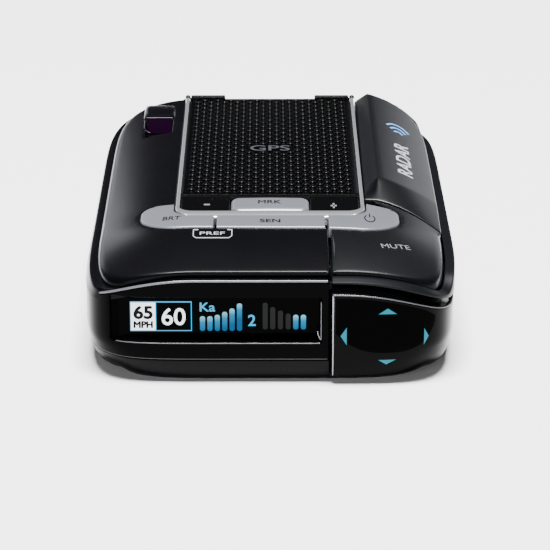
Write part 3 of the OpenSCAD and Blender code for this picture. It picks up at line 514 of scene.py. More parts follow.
def build_cover():
    shape = Shape()
    s_start = crown_loop.near(-23.45, 67.2)
    s_end = crown_loop.near(13.9, -63.0)
    rim = crown_loop.piece(s_start, s_end, 0.8)
    inner = [np.array([13.9, -43.0]), np.array([0.0, -42.95]), np.array([-13.5, -42.75])] \
        + bright_outline[15:36][::-1] + bright_outline[:15][::-1] + [np.array([-23.45, -24.9])]
    inner = dense([rim[-1]] + inner + [rim[0]], 0.8, closed=False)[1:-1]
    outline = np.vstack([rim, inner])
    rolls = np.concatenate([np.repeat(matched(crown_roll, 9)[None], len(rim), 0),
                            np.repeat(matched(fillet(0.3, 4), 9)[None], len(inner), 0)])
    straight = (np.clip((-58 - rim[:, 1]) / 4, 0, 1) * np.clip((rim[:, 0] + 34) / 10, 0, 1))[:, None, None]
    rolls[:len(rim)] += straight * (matched(tight_roll, 9) - matched(crown_roll, 9))
    rolls[0] = rolls[len(rim) - 1] = matched(fillet(0.3, 4), 9)

    def foot(p):
        drop = np.where(np.arange(len(p)) < len(rim), LEDGE_DROP, 2.7)
        return np.column_stack([p, deck_z(p[:, 0], p[:, 1]) - drop])

    recess = np.array(arc(-26.9, 36.4, 0.5, 270, 360, 4)
                      + [np.array([-26.4, 50.0]), np.array([-33.8, 50.0])]
                      + arc(-33.3, 36.4, 0.5, 180, 270, 4))
    recess = dense(list(recess), 0.8)[::-1]
    skin(shape, outline, on_top(deck_z), rolls, 1.1, foot=foot,
         holes=[(recess, matched(fillet(0.25, 3), 4), down_to(lambda x, y: channel_z(y)))])
    front = np.where(rim[:, 1] < 0, 64.4 / 63.0, (REAR_Y - 0.15) / (REAR_Y - 0.7))
    ledge = foot(rim)[:, 2]
    edge = np.column_stack([rim[:, 0] * (HALF_W - 0.95) / (HALF_W - 3.15), rim[:, 1] * front])
    wall = np.column_stack([rim[:, 0] * (HALF_W - 0.25) / (HALF_W - 3.15), rim[:, 1] * front])
    skirt = 20.15 + (deck_z(wall[:, 0], wall[:, 1]) - 3.2 - 20.15) * np.clip((-55 - wall[:, 1]) / 7, 0, 1)
    rows = [(wall, skirt), (wall * 0.25 + edge * 0.75, skirt * 0.25 + (ledge - 0.5) * 0.75),
            (edge, ledge - 0.5),
            (edge * 0.9 + rim * 0.1, ledge - 0.12), (edge * 0.72 + rim * 0.28, ledge), (rim, ledge)]
    m = len(rim)
    shape.add(np.vstack([np.column_stack([p, z]) for p, z in rows]),
              [(j * m + i, j * m + i + 1, (j + 1) * m + i + 1, (j + 1) * m + i)
               for j in range(len(rows) - 1) for i in range(m - 1)])
    return shape


def channel_z(y):
    return np.interp(y, [35.6, 37.5, 46.4, 50.0], [30.6, 29.6, 27.4, 27.3])


cover = build_cover()
floor_y = np.linspace(35.8, 50.0, 12)
grid = np.array([[x, y, channel_z(y)] for x in (-33.9, -26.3) for y in floor_y])
cover.add(grid, [(i, i + 1, i + 13, i + 12) for i in range(11)])
cover.faces = [f if k < len(cover.faces) - 11 else f[::-1] for k, f in enumerate(cover.faces)]
hood = [(49.4, 29.0), (49.4, 31.2), (49.7, 31.9), (50.6, 32.25), (54.0, 32.4), (59.0, 32.2), (61.8, 31.5),
        (63.2, 30.2),
        (63.6, 28.5)]
across = [(-34.5, 1.9), (-34.4, 0.75), (-34.0, 0.2), (-33.2, 0.0), (-27.0, 0.0), (-26.2, 0.2),
          (-25.8, 0.75), (-25.7, 1.9)]
hood_points = [[x, y, z - drop] for x, drop in across for y, z in hood]
m = len(hood)
cover.add(hood_points, [(i * m + j, (i + 1) * m + j, (i + 1) * m + j + 1, i * m + j + 1)
                        for i in range(len(across) - 1) for j in range(m - 1)])

# painted highlight lines: lighter beads along the rim of the laser window and of its channel
bead_line("channel_rim_bead",
          [(-34.1, 48.5, 31.0), (-34.2, 45.6, 30.35), (-34.1, 43.6, 29.95), (-33.4, 41.6, 30.1),
                               (-32.3, 39.0, 30.35)], 0.11, painted_highlight_mid, "cover_satin")
bead_line("window_rim_bead", [(-33.7, 49.25, 31.6), (-30.1, 49.25, 31.62), (-26.5, 49.25, 31.6)], 0.09,
          painted_highlight_mid,
          "cover_satin")

# rear wall under the pad, notched for the mount channel; its first axis runs from right to left
rear_ring = dense([(-23.35, 20.15), (-13.0, 20.15), (-13.0, 26.4), (13.0, 26.4), (13.0, 20.15),
                   (23.45, 20.15),
                   (23.45, 28.2), (-23.35, 28.2)], 1.5)
skin(cover, rear_ring, lambda p, d: np.column_stack([-p[:, 0], REAR_Y - 0.25 - d, p[:, 1]]), fillet(0.2, 3),
     2.0,
     foot=lambda p: np.column_stack([-p[:, 0], np.full(len(p), REAR_Y - 1.9), p[:, 1]]))
cover.make("top_cover_shell", looks["cover_satin"], "case", "cover_satin", ["top_cover"], 40.0)

# laser window, slanted between the hood's front and the recess floor
window_face = Shape()
quad = np.array([[-33.6, 46.9, 27.45], [-26.6, 46.9, 27.45], [-26.6, 49.45, 31.6], [-33.6, 49.45, 31.6]])
slope_n = np.cross(quad[1] - quad[0], quad[3] - quad[0])
slope_n /= np.linalg.norm(slope_n)
inner_quad = quad.mean(axis=0) + (quad - quad.mean(axis=0)) * [0.9, 0.86, 0.86] + slope_n * 0.25
back_quad = quad - slope_n * 0.8
window_face.add(np.vstack([back_quad, quad, inner_quad]),
                [(k + 4 * j, (k + 1) % 4 + 4 * j, (k + 1) % 4 + 4 * j + 4, k + 4 * j + 4) for j in (0, 1)
                 for k in range(4)] + [(8, 9, 10, 11)])
window_face.make("laser_window_lens", looks["laser_filter"], "case", "laser_filter", ["laser_window"], 20.0)


# ---- hump beside the pad ----
def hump_wall(x, y):
    """Height of the leaning outer wall, by its distance in from the cover's edge."""
    d = clearance(np.column_stack([x, y]), cover_loop.points[::8])
    lean = np.interp(d, [0, 0.12, 0.35, 0.8, 1.5, 2.2, 3.0, 6.0, 9.0],
                     [-3.6, -2.9, -2.1, -1.1, -0.1, 0.9, 2.2, 7.5, 14])
    return deck_z(x, y) + lean


def hump_height(x, y):
    return soft_min(hump_z(x, y), hump_wall(x, y), 0.5) + 0.05


def build_hump():
    side = cover_loop.piece(cover_loop.near(44.6, -33.0), cover_loop.near(43.6, STRIP_REAR_Y - 0.2), 1.2)
    _, n = cover_loop.at(np.linspace(cover_loop.near(44.6, -33.0),
                                     cover_loop.near(43.6, STRIP_REAR_Y - 0.2), len(side)))
    side = side - n * 2.55
    side = side[side[:, 1] > hump_near_y(42.05) + 0.6]
    corner = cover_loop.piece(cover_loop.near(43.2, STRIP_REAR_Y + 0.3), cover_loop.near(23.6, 67.7), 0.8)
    near_x = np.linspace(23.6, 42.0, 30)
    near = np.column_stack([near_x, hump_near_y(near_x) + KEY_GAP])
    left = dense([corner[-1], near[0]], 1.2, closed=False)[1:-1]
    outline = np.vstack([near, side, corner, left])
    rolls = np.repeat(matched(fillet(0.3, 4), 6)[None], len(outline), 0)
    k0 = len(near) + len(side)
    rolls[k0:k0 + len(corner)] = matched([(0, 0.02), (0.25, 0.0), (0.5, 0.0)], 6)

    def foot(p):
        z = np.full(len(p), 24.5)
        z[k0:k0 + len(corner)] = 20.15
        z[:len(near)] = deck_z(near_x, near[:, 1]) - 1.6
        return np.column_stack([p, z])

    return skin(Shape(), outline, on_top(hump_height), rolls, 0.9, foot=foot)


build_hump().make("hump_cover_shell", looks["hump_satin"], "case", "hump_satin", ["hump_cover"], 38.0)


# ---- mute key ----
def build_mute():
    s0, s1 = mute_loop.near(14.6, -62.9), mute_loop.near(41.75, -33.2)
    rim = mute_loop.piece(s0, s1, 0.7)
    near_x = np.linspace(41.7, 23.9, 26)
    back = np.column_stack([near_x, hump_near_y(near_x) - KEY_GAP])
    key_edge = []
    for p in power_outline[18:][::-1]:
        centre = (22.1, -34.0) if p[1] < -34.0 else (27.2, -30.4)
        away = p - np.array(centre)
        key_edge.append(p + away / np.linalg.norm(away) * KEY_GAP)
    outline = np.vstack([rim, back[:-2], dense(key_edge, 0.8, closed=False), [[14.6, -43.6]]])
    rolls = np.repeat(matched(fillet(0.3, 4), 7)[None], len(outline), 0)
    straight = (np.clip((-58 - rim[:, 1]) / 4, 0, 1) * np.clip((38 - rim[:, 0]) / 8, 0, 1))[:, None, None]
    rolls[:len(rim)] = matched(crown_roll, 7) + straight * (matched(tight_roll, 7) - matched(crown_roll, 7))
    rolls[[0, 1, len(rim) - 2, len(rim) - 1]] = matched(fillet(0.3, 4), 7)
    return skin(Shape(), outline, on_top(deck_z), rolls, 0.9,
                foot=down_to(lambda x, y: deck_z(x, y) - 2.4))


build_mute().make("mute_key_shell", mute_satin, "mute_key", "hump_satin", ["key_mute"], 38.0)


# ---- satin keys ----
def satin_height(x, y):
    return deck_z(x, y) + 0.22


for key_name, outline, body_name in (("brightness", bright_outline, "brightness_key"),
                                     ("sensitivity", sens_outline, "sensitivity_key"),
                                     ("power", power_outline, "power_key")):
    ring = dense(outline, 0.5)
    skin(Shape(), ring, on_top(satin_height), fillet(0.4, 4, KEY_GAP * 0.7), 1.0,
         foot=down_to(lambda x, y: deck_z(x, y) - 2.3)).make(
        key_name + "_key_cap", looks["satin_key"], body_name, "satin_key", ["key_" + key_name])

mark_x, mark_y = 9.7, (-30.75, -20.45)
mark_ring = []
for cx, cy, t in ((mark_x - 2.4, mark_y[0] + 2.4, 270), (mark_x - 2.4, mark_y[1] - 2.4, 0),
                  (-mark_x + 2.4, mark_y[1] - 2.4, 90), (-mark_x + 2.4, mark_y[0] + 2.4, 180)):
    mark_ring += arc(cx, cy, 2.4, t, t + 90, 8)
skin(Shape(), dense(mark_ring, 0.6), lambda p, d: np.column_stack([p, 31.72 - 0.012 * np.abs(p[:, 0]) - d]),
     [(0.0, 1.3), (0.12, 0.75), (0.45, 0.36), (0.9, 0.12), (1.4, 0.02), (1.8, 0.0)], 1.0,
     foot=down_to(30.0)).make("mark_key_cap", looks["satin_key"], "mark_key", "satin_key", ["key_mark"])


# ---- bright frame ----
def frame_path(half, r):
    return [(-half, 67.3)] + [tuple(p)
                              for p in arc(-half + r, -33.9 + (TRIM_X - half) + r, r, 180, 270, 12)] \
        + [tuple(p) for p in arc(half - r, -33.9 + (TRIM_X - half) + r, r, 270, 360, 12)] + [(half, 67.3)]


outer = dense(frame_path(TRIM_X, 5.0), 1.0, closed=False)
inner_line = [(-22.35, 67.3)] + [tuple(p) for p in arc(-22.35 + 3.4, -30.8 + 3.4, 3.4, 180, 270, 12)] \
    + [tuple(p) for p in arc(22.35 - 3.4, -30.8 + 3.4, 3.4, 270, 360, 12)] + [(22.35, 67.3)]
inner_line = dense(inner_line, 1.0, closed=False)
trim_ring = np.vstack([outer, inner_line[::-1]])


def trim_height(x, y):
    lean = np.interp(y, [-34.0, -32.6, -31.6, -30.9], [-0.75, -0.12, 0.0, 0.0])
    return deck_line(y) + 0.18 + lean


skin(Shape(), trim_ring, on_top(trim_height), fillet(0.26, 4), 0.6,
     foot=down_to(lambda x, y: deck_line(y) - 2.6)) \
    .make("trim_frame_rail", looks["bright_trim"], "case", "bright_trim", ["trim_frame"])
beads = Shape()
for side in (-1, 1):
    ring_count, cut = 12, 7
    pts = [(side * 22.85 + 0.75 * math.sin(b) * math.cos(a), 67.0 + 0.8 * math.sin(b) * math.sin(a),
            32.35 + 0.7 * math.cos(b)) for b in np.linspace(0.05, 2.9, cut)
           for a in np.linspace(0, 2 * math.pi, ring_count, endpoint=False)]
    beads.add(pts, [(j * ring_count + i, (j + 1) * ring_count + i,
                     (j + 1) * ring_count + (i + 1) % ring_count,
                     j * ring_count + (i + 1) % ring_count) for j in range(cut - 1)
                     for i in range(ring_count)])
beads.make("rail_end_beads", looks["strip_black"], "case", "strip_black")

# ---- strip behind the bright bar: tray floor and the two flat keys ----
PAD_X = 22.25
strip_ring = dense([(PAD_X, -17.8), (-PAD_X, -17.8)] + arc(-PAD_X + 3.3, -30.7 + 3.3, 3.3, 180, 270, 10)
                   + arc(PAD_X - 3.3, -30.7 + 3.3, 3.3, 270, 360, 10), 0.8)
skin(Shape(), strip_ring, lambda p, d: np.column_stack([p, 28.75 - d]), sharp_edge, 4.0,
     foot=down_to(28.25)) \
    .make("strip_floor", looks["strip_black"], "case", "strip_black", ["strip_tray"])
for side, key_name in ((-1, "minus"), (1, "plus")):
    edge_x = mark_x + KEY_GAP
    ring = [(side * PAD_X - side * 0.2, -18.0), (side * edge_x, -18.0), (side * edge_x, -30.5)] \
        + [(side * x, y) for x, y in arc(PAD_X - 3.4, -30.5 + 3.2, 3.2, 270, 360, 10)]
    ring = dense(ring, 0.7)
    if side > 0:
        ring = ring[::-1]
    if np.sum(ring[:, 0] * np.roll(ring[:, 1], -1) - np.roll(ring[:, 0], -1) * ring[:, 1]) < 0:
        ring = ring[::-1]
    skin(Shape(), ring, lambda p, d: np.column_stack([p, 30.75 - d]), fillet(0.25, 3), 2.0,
         foot=down_to(29.3)) \
        .make(key_name + "_key_cap", looks["strip_black"], key_name + "_key", "strip_black",
              ["key_" + key_name])


# ---- pad with its staggered dots ----
def pad_z(y):
    return 31.15 + 0.0115 * (y + 17.6) + 0.05


pad = Shape()
pad_ring = dense([(-PAD_X, -17.65), (PAD_X, -17.65), (PAD_X, 67.4), (12.4, 67.4), (12.4, 66.2),
                  (-12.4, 66.2), (-12.4, 67.4),
                  (-PAD_X, 67.4)], 1.5)
skin(pad, pad_ring, lambda p, d: np.column_stack([p, pad_z(p[:, 1]) - d]), sharp_edge, 2.5,
     foot=down_to(28.3))
for x0 in (-PAD_X + 0.3, 12.4):
    brick(pad, (x0, x0 + 9.5), (65.6, 67.5), (31.0, 32.95), 0.3)
row_pitch, dot_pitch = 1.9, 3.6
dot_rows = int((66.0 + 15.9) / row_pitch)
ring_n = 8
dot_profile = [(0.98, 0.0), (0.84, 0.28), (0.56, 0.48), (0.22, 0.58)]
for row in range(dot_rows):
    y = -15.9 + row * row_pitch
    for k in range(-7, 8):
        x = (k + 0.5 * (row % 2)) * dot_pitch
        if abs(x) > PAD_X - 1.0 or (abs(x) < 12.9 and y > 65.2) or (abs(x) > 11 and y > 64.6):
            continue
        if abs(x) < 6.6 and 17.2 < y < 22.6:
            continue
        pts = [(x + r * math.cos(t), y + 0.82 * r * math.sin(t), pad_z(y) + z) for r, z in dot_profile
               for t in np.linspace(0, 2 * math.pi, ring_n, endpoint=False)] + [(x, y, pad_z(y) + 0.6)]
        pad.add(pts, [(j * ring_n + i, j * ring_n + (i + 1) % ring_n, (j + 1) * ring_n + (i + 1) % ring_n,
                       (j + 1) * ring_n + i) for j in range(len(dot_profile) - 1) for i in range(ring_n)]
                + [(3 * ring_n + i, 3 * ring_n + (i + 1) % ring_n, 4 * ring_n) for i in range(ring_n)])
pad.make("pad_with_dots", looks["pad_texture"], "case", "pad_texture", ["texture_pad"], 50.0)


# ---- lower shells, in distance round the case and height ----
def level_inset(z):
    return np.interp(z, [0, 0.15, 0.4, 0.8, 1.4, 2.2, 3.4, 5, 7, 9.5],
                     [3.4, 2.8, 2.35, 1.9, 1.5, 1.15, 0.8, 0.5, 0.24, 0.05])


def corner_inset(z):
    return np.interp(z, [0, 0.4, 1.2, 3, 6, 9, 11], [5.4, 4.5, 3.5, 2.2, 0.95, 0.12, 0])


def shell_place(loop, extra=0.0):
    def place(p, drop):
        base, n = loop.at(p[:, 0])
        front = np.clip(-n[:, 1], 0, 1)
        weight = np.clip(2 * np.abs(n[:, 0]) * front, 0, 1) ** 0.9
        d = level_inset(p[:, 1]) + corner_inset(p[:, 1]) * weight + drop + extra
        return np.column_stack([base - n * d[:, None], p[:, 1]])
    return place


def shell_foot(loop, depth, extra=0.0):
    place = shell_place(loop, extra)
    return lambda p: place(p, np.full(len(p), depth))


def build_case():
    L = body_loop.length
    left = body_loop.near(-HALF_W, WRAP_Y)
    split = body_loop.near(SPLIT_X, -66.5)
    right = body_loop.near(HALF_W, WRAP_Y)
    strip_end = body_loop.near(42.4, STRIP_REAR_Y + 0.2)
    ring = [(0, 0.02), (L, 0.02), (L, 20.0), (strip_end, 20.0), (strip_end, 18.3), (right, 18.3),
            (right, 2.2),
            (split - 0.2, 2.2), (split - 0.2, CHIN_Z - 0.2), (left, CHIN_Z - 0.2), (left, 20.0), (0, 20.0)]
    ring = dense([np.array(p) for p in ring], 0.9)
    rolls = np.repeat(matched(fillet(0.22, 3), 4)[None], len(ring), 0)
    flat = (ring[:, 1] < 0.1) | (ring[:, 0] < 0.01) | (ring[:, 0] > L - 0.01)
    rolls[flat] = 0.0
    holes = []

    def window(x0, x1, z0, z1, r, back):
        c = [(x1 - r, z0 + r, 270), (x1 - r, z1 - r, 0), (x0 + r, z1 - r, 90), (x0 + r, z0 + r, 180)]
        pts = [p for a, b, t in c for p in arc(a, b, r, t, t + 90, 5)]
        holes.append((dense(pts, 0.8)[::-1], fillet(0.15, 2), shell_foot(body_loop, back)))

    for y0, y1, z0, z1, r in ((-28.9, -19.1, 10.4, 17.2, 0.3), (-8.5, -0.5, 9.0, 12.6, 0.3),
                              (7.6, 14.4, 8.6, 15.4, 3.3)):
        a, b = sorted((body_loop.near(-HALF_W, y0), body_loop.near(-HALF_W, y1)))
        window(a, b, z0, z1, r, 1.9)
    lens_a, lens_b = sorted((body_loop.near(-20, REAR_Y), body_loop.near(-34, REAR_Y - 1)))
    window(lens_a, lens_b, 8.5, 17.0, 0.5, 1.5)
    dome_a, dome_b = body_loop.near(30, REAR_Y - 1), L - 0.6
    window(dome_a, dome_b, 7.0, 18.6, 0.5, 1.5)
    window(0.6, body_loop.near(-12, REAR_Y), 7.0, 18.6, 0.5, 1.5)
    shape = skin(Shape(), ring, shell_place(body_loop), rolls, 1.1, holes=holes, foot=None)
    s = np.linspace(0, L, 260, endpoint=False)
    under = shell_place(body_loop)(np.column_stack([s, np.full(260, 0.02)]), np.zeros(260))[:, :2]
    under_holes = []
    for x, y in ((-35, -44), (35, -44), (-35, 55), (35, 55)):
        under_holes.append((np.array(arc(x, y, 2.6, 0, 360, 20)[:-1])[::-1], sharp_edge, down_to(3.4)))
    for i in range(-3, 4):
        x, y, long = 17 + 2.8 * i, 10, 9 - abs(i)
        slot_ring = np.array(arc(x, y + long, 0.6, 0, 180, 6) + arc(x, y - long, 0.6, 180, 360, 6))
        under_holes.append((slot_ring[::-1], sharp_edge, down_to(1.8)))

    def place_under(p, drop):
        return np.column_stack([p, 0.02 + drop])

    base = skin(Shape(), under, place_under, [(0.0, 0.0), (0.02, 0.0)], 3.0, holes=under_holes)
    flipped = [f[::-1] for f in base.faces]
    shape.add(np.vstack(base.points), flipped)
    return shape


build_case().make("bottom_case_shell", looks["case_shell"], "case", "case_shell", ["bottom_case"], 38.0)


# ---- front bezel round the display ----
def x_on(loop, s):
    return loop.at(s)[0][:, 0]


SIGHT = ((-34.2, 11.6), (11.3, 20.3))


def build_bezel(shape, recess):
    s0 = body_loop.near(-HALF_W, WRAP_Y - 0.15)
    s1 = body_loop.near(SPLIT_X - 0.3, -66.5)
    s = np.linspace(s1, s0, 110)
    top = np.column_stack([s, lip_z(x_on(body_loop, s))])
    ends = dense([np.array([s1, CHIN_Z]), top[0]], 0.8, closed=False)[:-1]
    rear = dense([top[-1], np.array([s0, CHIN_Z])], 0.8, closed=False)[1:-1]
    low = dense([np.array([s0, CHIN_Z]), np.array([s1, CHIN_Z])], 0.8, closed=False)[:-1]
    ring = np.vstack([low, ends, top, rear])
    rolls = np.repeat(matched(fillet(0.3, 5), 8)[None], len(ring), 0)
    rolls[len(low) + len(ends):len(low) + len(ends) + len(top)] = matched(fillet(0.9, 7), 8)
    w0, w1 = body_loop.near(-37.9, -63.5), body_loop.near(12.2, -66.5)
    z0, z1 = 10.15, 21.5
    hole = []
    for cs, cz, t in ((w1 - 0.5, z0 + 0.5, 270), (w1 - 0.5, z1 - 0.5, 0), (w0 + 0.5, z1 - 0.5, 90),
                      (w0 + 0.5, z0 + 0.5, 180)):
        hole += arc(cs, cz, 0.5, t, t + 90, 5)
    hole = dense(hole, 0.8)[::-1]

    rim = shell_place(body_loop)(hole, np.full(len(hole), 0.7))
    skin(shape, ring, shell_place(body_loop), rolls, 0.9, foot=shell_foot(body_loop, 1.95),
         holes=[(hole, fillet(0.22, 4), lambda p: rim)])
    deep = np.column_stack([np.clip(rim[:, 0], *SIGHT[0]), np.full(len(rim), LENS_Y),
                            np.clip(rim[:, 2], *SIGHT[1])])
    m = len(rim)
    recess.add(np.vstack([deep, rim]), [(i, (i + 1) % m, (i + 1) % m + m, i + m) for i in range(m)])


bezel, window_recess = Shape(), Shape()
build_bezel(bezel, window_recess)
bezel.make("front_bezel_shell", looks["gloss_front"], "case", "gloss_front", ["front_bezel"], 40.0)
window_recess.make("window_recess", recess_and_painted_reflection_black, "case", "gloss_front", (), 30.0)


# ---- text and small graphics ----
def letters(text, weight=0.0, slant=0.0):
    """Flat letters in a unit box: points, faces and a small layer number that keeps the bold copies apart."""
    curve = bpy.data.curves.new("letters_tmp", "FONT")
    curve.body = text
    curve.shear = slant
    curve.resolution_u = 6
    holder = bpy.data.objects.new("letters_tmp", curve)
    bpy.context.scene.collection.objects.link(holder)
    mesh = bpy.data.meshes.new_from_object(holder.evaluated_get(bpy.context.evaluated_depsgraph_get()))
    bm = bmesh.new()
    bm.from_mesh(mesh)
    bmesh.ops.triangulate(bm, faces=bm.faces)
    for axis in (0, 1):
        low = min(v.co[axis] for v in bm.verts)
        high = max(v.co[axis] for v in bm.verts)
        cuts = 14 if axis == 0 else 4
        for k in range(1, cuts):
            place, normal = [0, 0, 0], [0, 0, 0]
            place[axis] = low + (high - low) * k / cuts
            normal[axis] = 1
            bmesh.ops.bisect_plane(bm, geom=bm.verts[:] + bm.edges[:] + bm.faces[:], plane_co=place,
                                   plane_no=normal)
    bmesh.ops.triangulate(bm, faces=bm.faces)
    bm.verts.index_update()
    flat = np.array([(v.co.x, v.co.y) for v in bm.verts])
    faces = [tuple(v.index for v in f.verts) for f in bm.faces if f.calc_area() > 1e-9]
    bm.free()
    bpy.data.objects.remove(holder)
    bpy.data.curves.remove(curve)
    bpy.data.meshes.remove(mesh)
    shifts = [(0, 0)] if weight == 0 else [(-1, 0), (1, 0), (0, -1), (0, 1), (-0.7, -0.7), (0.7, 0.7),
                                           (-0.7, 0.7),
                                           (0.7, -0.7)]
    n = len(flat)
    pts = np.vstack([flat + np.array(s) * weight for s in shifts])
    faces = [tuple(i + k * n for i in f) for k in range(len(shifts)) for f in faces]
    layer = np.repeat(np.arange(len(shifts)) * 0.003, n)
    lo, hi = pts.min(axis=0), pts.max(axis=0)
    return (pts - lo) / (hi - lo), faces, layer


def screen_text(shape, text, x, z, weight=0.0, depth=0.02):
    unit, faces, layer = letters(text, weight)
    pts = np.column_stack([x[0] + unit[:, 0] * (x[1] - x[0]), LENS_Y - depth - layer,
                           z[0] + unit[:, 1] * (z[1] - z[0])])
    return shape.add(pts, faces)


def screen_patch(shape, x, z, r=0.0, depth=0.01, lean=0.0):
    if r:
        ring = [p for cx, cz, t in ((x[1] - r, z[0] + r, 270), (x[1] - r, z[1] - r, 0),
                                    (x[0] + r, z[1] - r, 90),
                                    (x[0] + r, z[0] + r, 180)) for p in arc(cx, cz, r, t, t + 90, 6)]
    else:
        ring = [(x[0], z[0]), (x[1], z[0]), (x[1], z[1]), (x[0], z[1])]
    return shape.add([(a, LENS_Y - depth - lean * (b - z[1]), b) for a, b in ring],
                     [tuple(range(len(ring)))])


white_part, cyan_part, dark_part, bars_part, grey_part = Shape(), Shape(), Shape(), Shape(), Shape()
screen_patch(white_part, (-32.9, -27.1), (12.25, 19.2))
screen_text(white_part, "60", (-25.6, -20.0), (13.5, 17.8), 0.012)
for x, z in (((-33.1, -18.5), (19.2, 19.5)), ((-33.1, -18.5), (12.0, 12.25)),
             ((-33.1, -32.9), (12.0, 19.5)),
             ((-27.1, -26.9), (12.0, 19.5)), ((-18.72, -18.5), (12.0, 19.5))):
    screen_patch(cyan_part, x, z, depth=0.015)
screen_text(dark_part, "65", (-32.3, -27.7), (15.0, 18.4), 0.042)
screen_text(dark_part, "MPH", (-32.3, -27.7), (12.75, 14.55), 0.055)
screen_text(cyan_part, "Ka", (-16.65, -12.95), (16.9, 19.2), 0.02)
screen_text(cyan_part, "2", (-5.25, -3.4), (13.25, 16.15), 0.02)
for x, top in zip((-15.99, -14.24, -12.49, -10.74, -9.0, -7.25), (15.8, 15.8, 16.15, 16.9, 17.75, 19.0)):
    screen_patch(bars_part, (x - 0.62, x + 0.62), (12.05, top), 0.55, BAR_FRONT, BAR_LEAN)
for x in (6.05, 7.85):
    screen_patch(bars_part, (x - 0.62, x + 0.62), (12.4, 16.15), 0.55, BAR_FRONT, BAR_LEAN)
for x, top in zip((-1.18, 0.6, 2.42, 4.25), (19.15, 18.05, 17.15, 16.4)):
    screen_patch(grey_part, (x - 0.6, x + 0.6), (12.4, top), 0.55)
for part, part_name, material in ((white_part, "screen_white", glow_white),
                                  (cyan_part, "screen_cyan", glow_cyan),
                                  (dark_part, "screen_dark_text", print_dark),
                                  (bars_part, "screen_bars", bar_blue),
                                  (grey_part, "screen_idle_bars", bar_grey)):
    part.make(part_name, material, "case", "screen_glass")


# ---- arrow panel, its bevel and its lit arrows ----
def panel_top(x):
    return lip_z(x) - 2.95 - 0.02 * (x - SPLIT_X)


def build_panel():
    s0 = panel_loop.near(SPLIT_X + 0.2, -REAR_Y)
    s1 = panel_loop.near(HALF_W, WRAP_Y - 0.15)
    s = np.linspace(s1, s0, 70)
    top = np.column_stack([s, panel_top(x_on(panel_loop, s))])
    ring = np.vstack([dense([np.array([s0, 1.6]), np.array([s1, 1.6])], 0.8, closed=False)[:-1],
                      dense([np.array([s1, 1.6]), top[0]], 0.8, closed=False)[:-1], top,
                      dense([top[-1], np.array([s0, 1.6])], 0.8, closed=False)[1:-1]])
    rolls = np.repeat(matched(fillet(0.55, 5), 6)[None], len(ring), 0)
    shape = skin(Shape(), ring, shell_place(panel_loop), rolls, 0.9, foot=shell_foot(panel_loop, 1.6))
    place = shell_place(panel_loop)
    s = np.linspace(s0, s1, 90)
    x = x_on(panel_loop, s)
    rows = []
    for depth, rise in ((0.9, -0.02), (1.0, 0.05), (1.5, 1.0), (2.1, 1.9)):
        z = panel_top(x) + rise
        rows.append(place(np.column_stack([s, z]), np.full(len(s), depth)))
    m = len(s)
    shape.add(np.vstack(rows), [(j * m + i, j * m + i + 1, (j + 1) * m + i + 1, (j + 1) * m + i)
                                for j in range(len(rows) - 1) for i in range(m - 1)])
    return shape


build_panel().make("arrow_panel_shell", panel_gloss, "case", "gloss_front", ["arrow_panel"], 40.0)

# ---- thin beads along the lip, the window, the chin and the panel: round edges whose lighter colour paints their highlight lines ----
def on_loop(loop, s, z, depth):
    return shell_place(loop)(np.column_stack([s, np.broadcast_to(z, len(s))]),
                             np.full(len(s), float(depth)))


bezel_s = np.linspace(body_loop.near(-42.6, -59.0), body_loop.near(SPLIT_X - 0.7, -66.5), 120)
bead_line("lip_bead", on_loop(body_loop, bezel_s, lip_z(x_on(body_loop, bezel_s)) - 0.28, 0.42), 0.34,
          painted_highlight_soft,
          "gloss_front")
window_s = np.linspace(body_loop.near(-36.6, -64.5), body_loop.near(11.7, -66.5), 60)
bead_line("window_low_bead", on_loop(body_loop, window_s, 10.1, 0.1), 0.13, painted_highlight_mid, "gloss_front")
bead_line("window_side_bead", [(12.0, -66.3, z) for z in np.linspace(11.0, 20.4, 16)], 0.14, painted_highlight_mid,
          "gloss_front")
bead_line("window_glint_bead",
          [(11.2 + 0.7 * (k / 7) ** 2, -65.6 - 0.4 * k / 7, 12.9 - 2.0 * k / 7) for k in range(8)],
          0.12, painted_highlight_bright, "gloss_front")
chin_s = np.linspace(body_loop.near(-43.0, -57.5), body_loop.near(SPLIT_X - 0.7, -66.5), 90)
bead_line("chin_bead", on_loop(body_loop, chin_s, CHIN_Z + 0.15, 0.1), 0.12, painted_highlight_dim, "gloss_front")
panel_x = SPLIT_X + 0.55
edge_z = np.linspace(2.2, panel_top(panel_x) - 0.4, 30)
edge_at = on_loop(panel_loop, np.full(30, panel_loop.near(panel_x, -REAR_Y)), edge_z, 0.06)
bead_line("panel_edge_bead", edge_at, np.linspace(0.13, 0.22, 30), painted_highlight_bright, "gloss_front")
top_s = np.linspace(panel_loop.near(panel_x, -REAR_Y), panel_loop.near(HALF_W, -57.0), 80)
bead_line("panel_top_bead", on_loop(panel_loop, top_s, panel_top(x_on(panel_loop, top_s)) - 0.16, 0.16),
          np.linspace(0.20, 0.12, 80), painted_highlight_mid, "gloss_front")

# painted reflection: a thin matt black sheet just in front of the panel round the arrows, darker above a curved
# lower edge
dark_reflection_x = np.linspace(15.4, 41.5, 60)
dark_reflection_low = 8.1 + 3.4 * np.abs((dark_reflection_x - 27.6) / 10.6) ** 2.6
dark_reflection_top = panel_top(dark_reflection_x) - 0.9
dark_reflection_low = np.minimum(dark_reflection_low, dark_reflection_top - 0.4)
dark_reflection_s = np.array([panel_loop.near(x, -67) for x in dark_reflection_x])
dark_reflection_ring = np.vstack([np.column_stack([dark_reflection_s, dark_reflection_low]),
                       np.column_stack([dark_reflection_s, dark_reflection_top])[::-1]])[::-1]
if np.sum(dark_reflection_ring[:, 0] * np.roll(dark_reflection_ring[:, 1], -1)
          - np.roll(dark_reflection_ring[:, 0], -1) * dark_reflection_ring[:, 1]) < 0:
    dark_reflection_ring = dark_reflection_ring[::-1]
dark_reflection_at = shell_place(panel_loop)
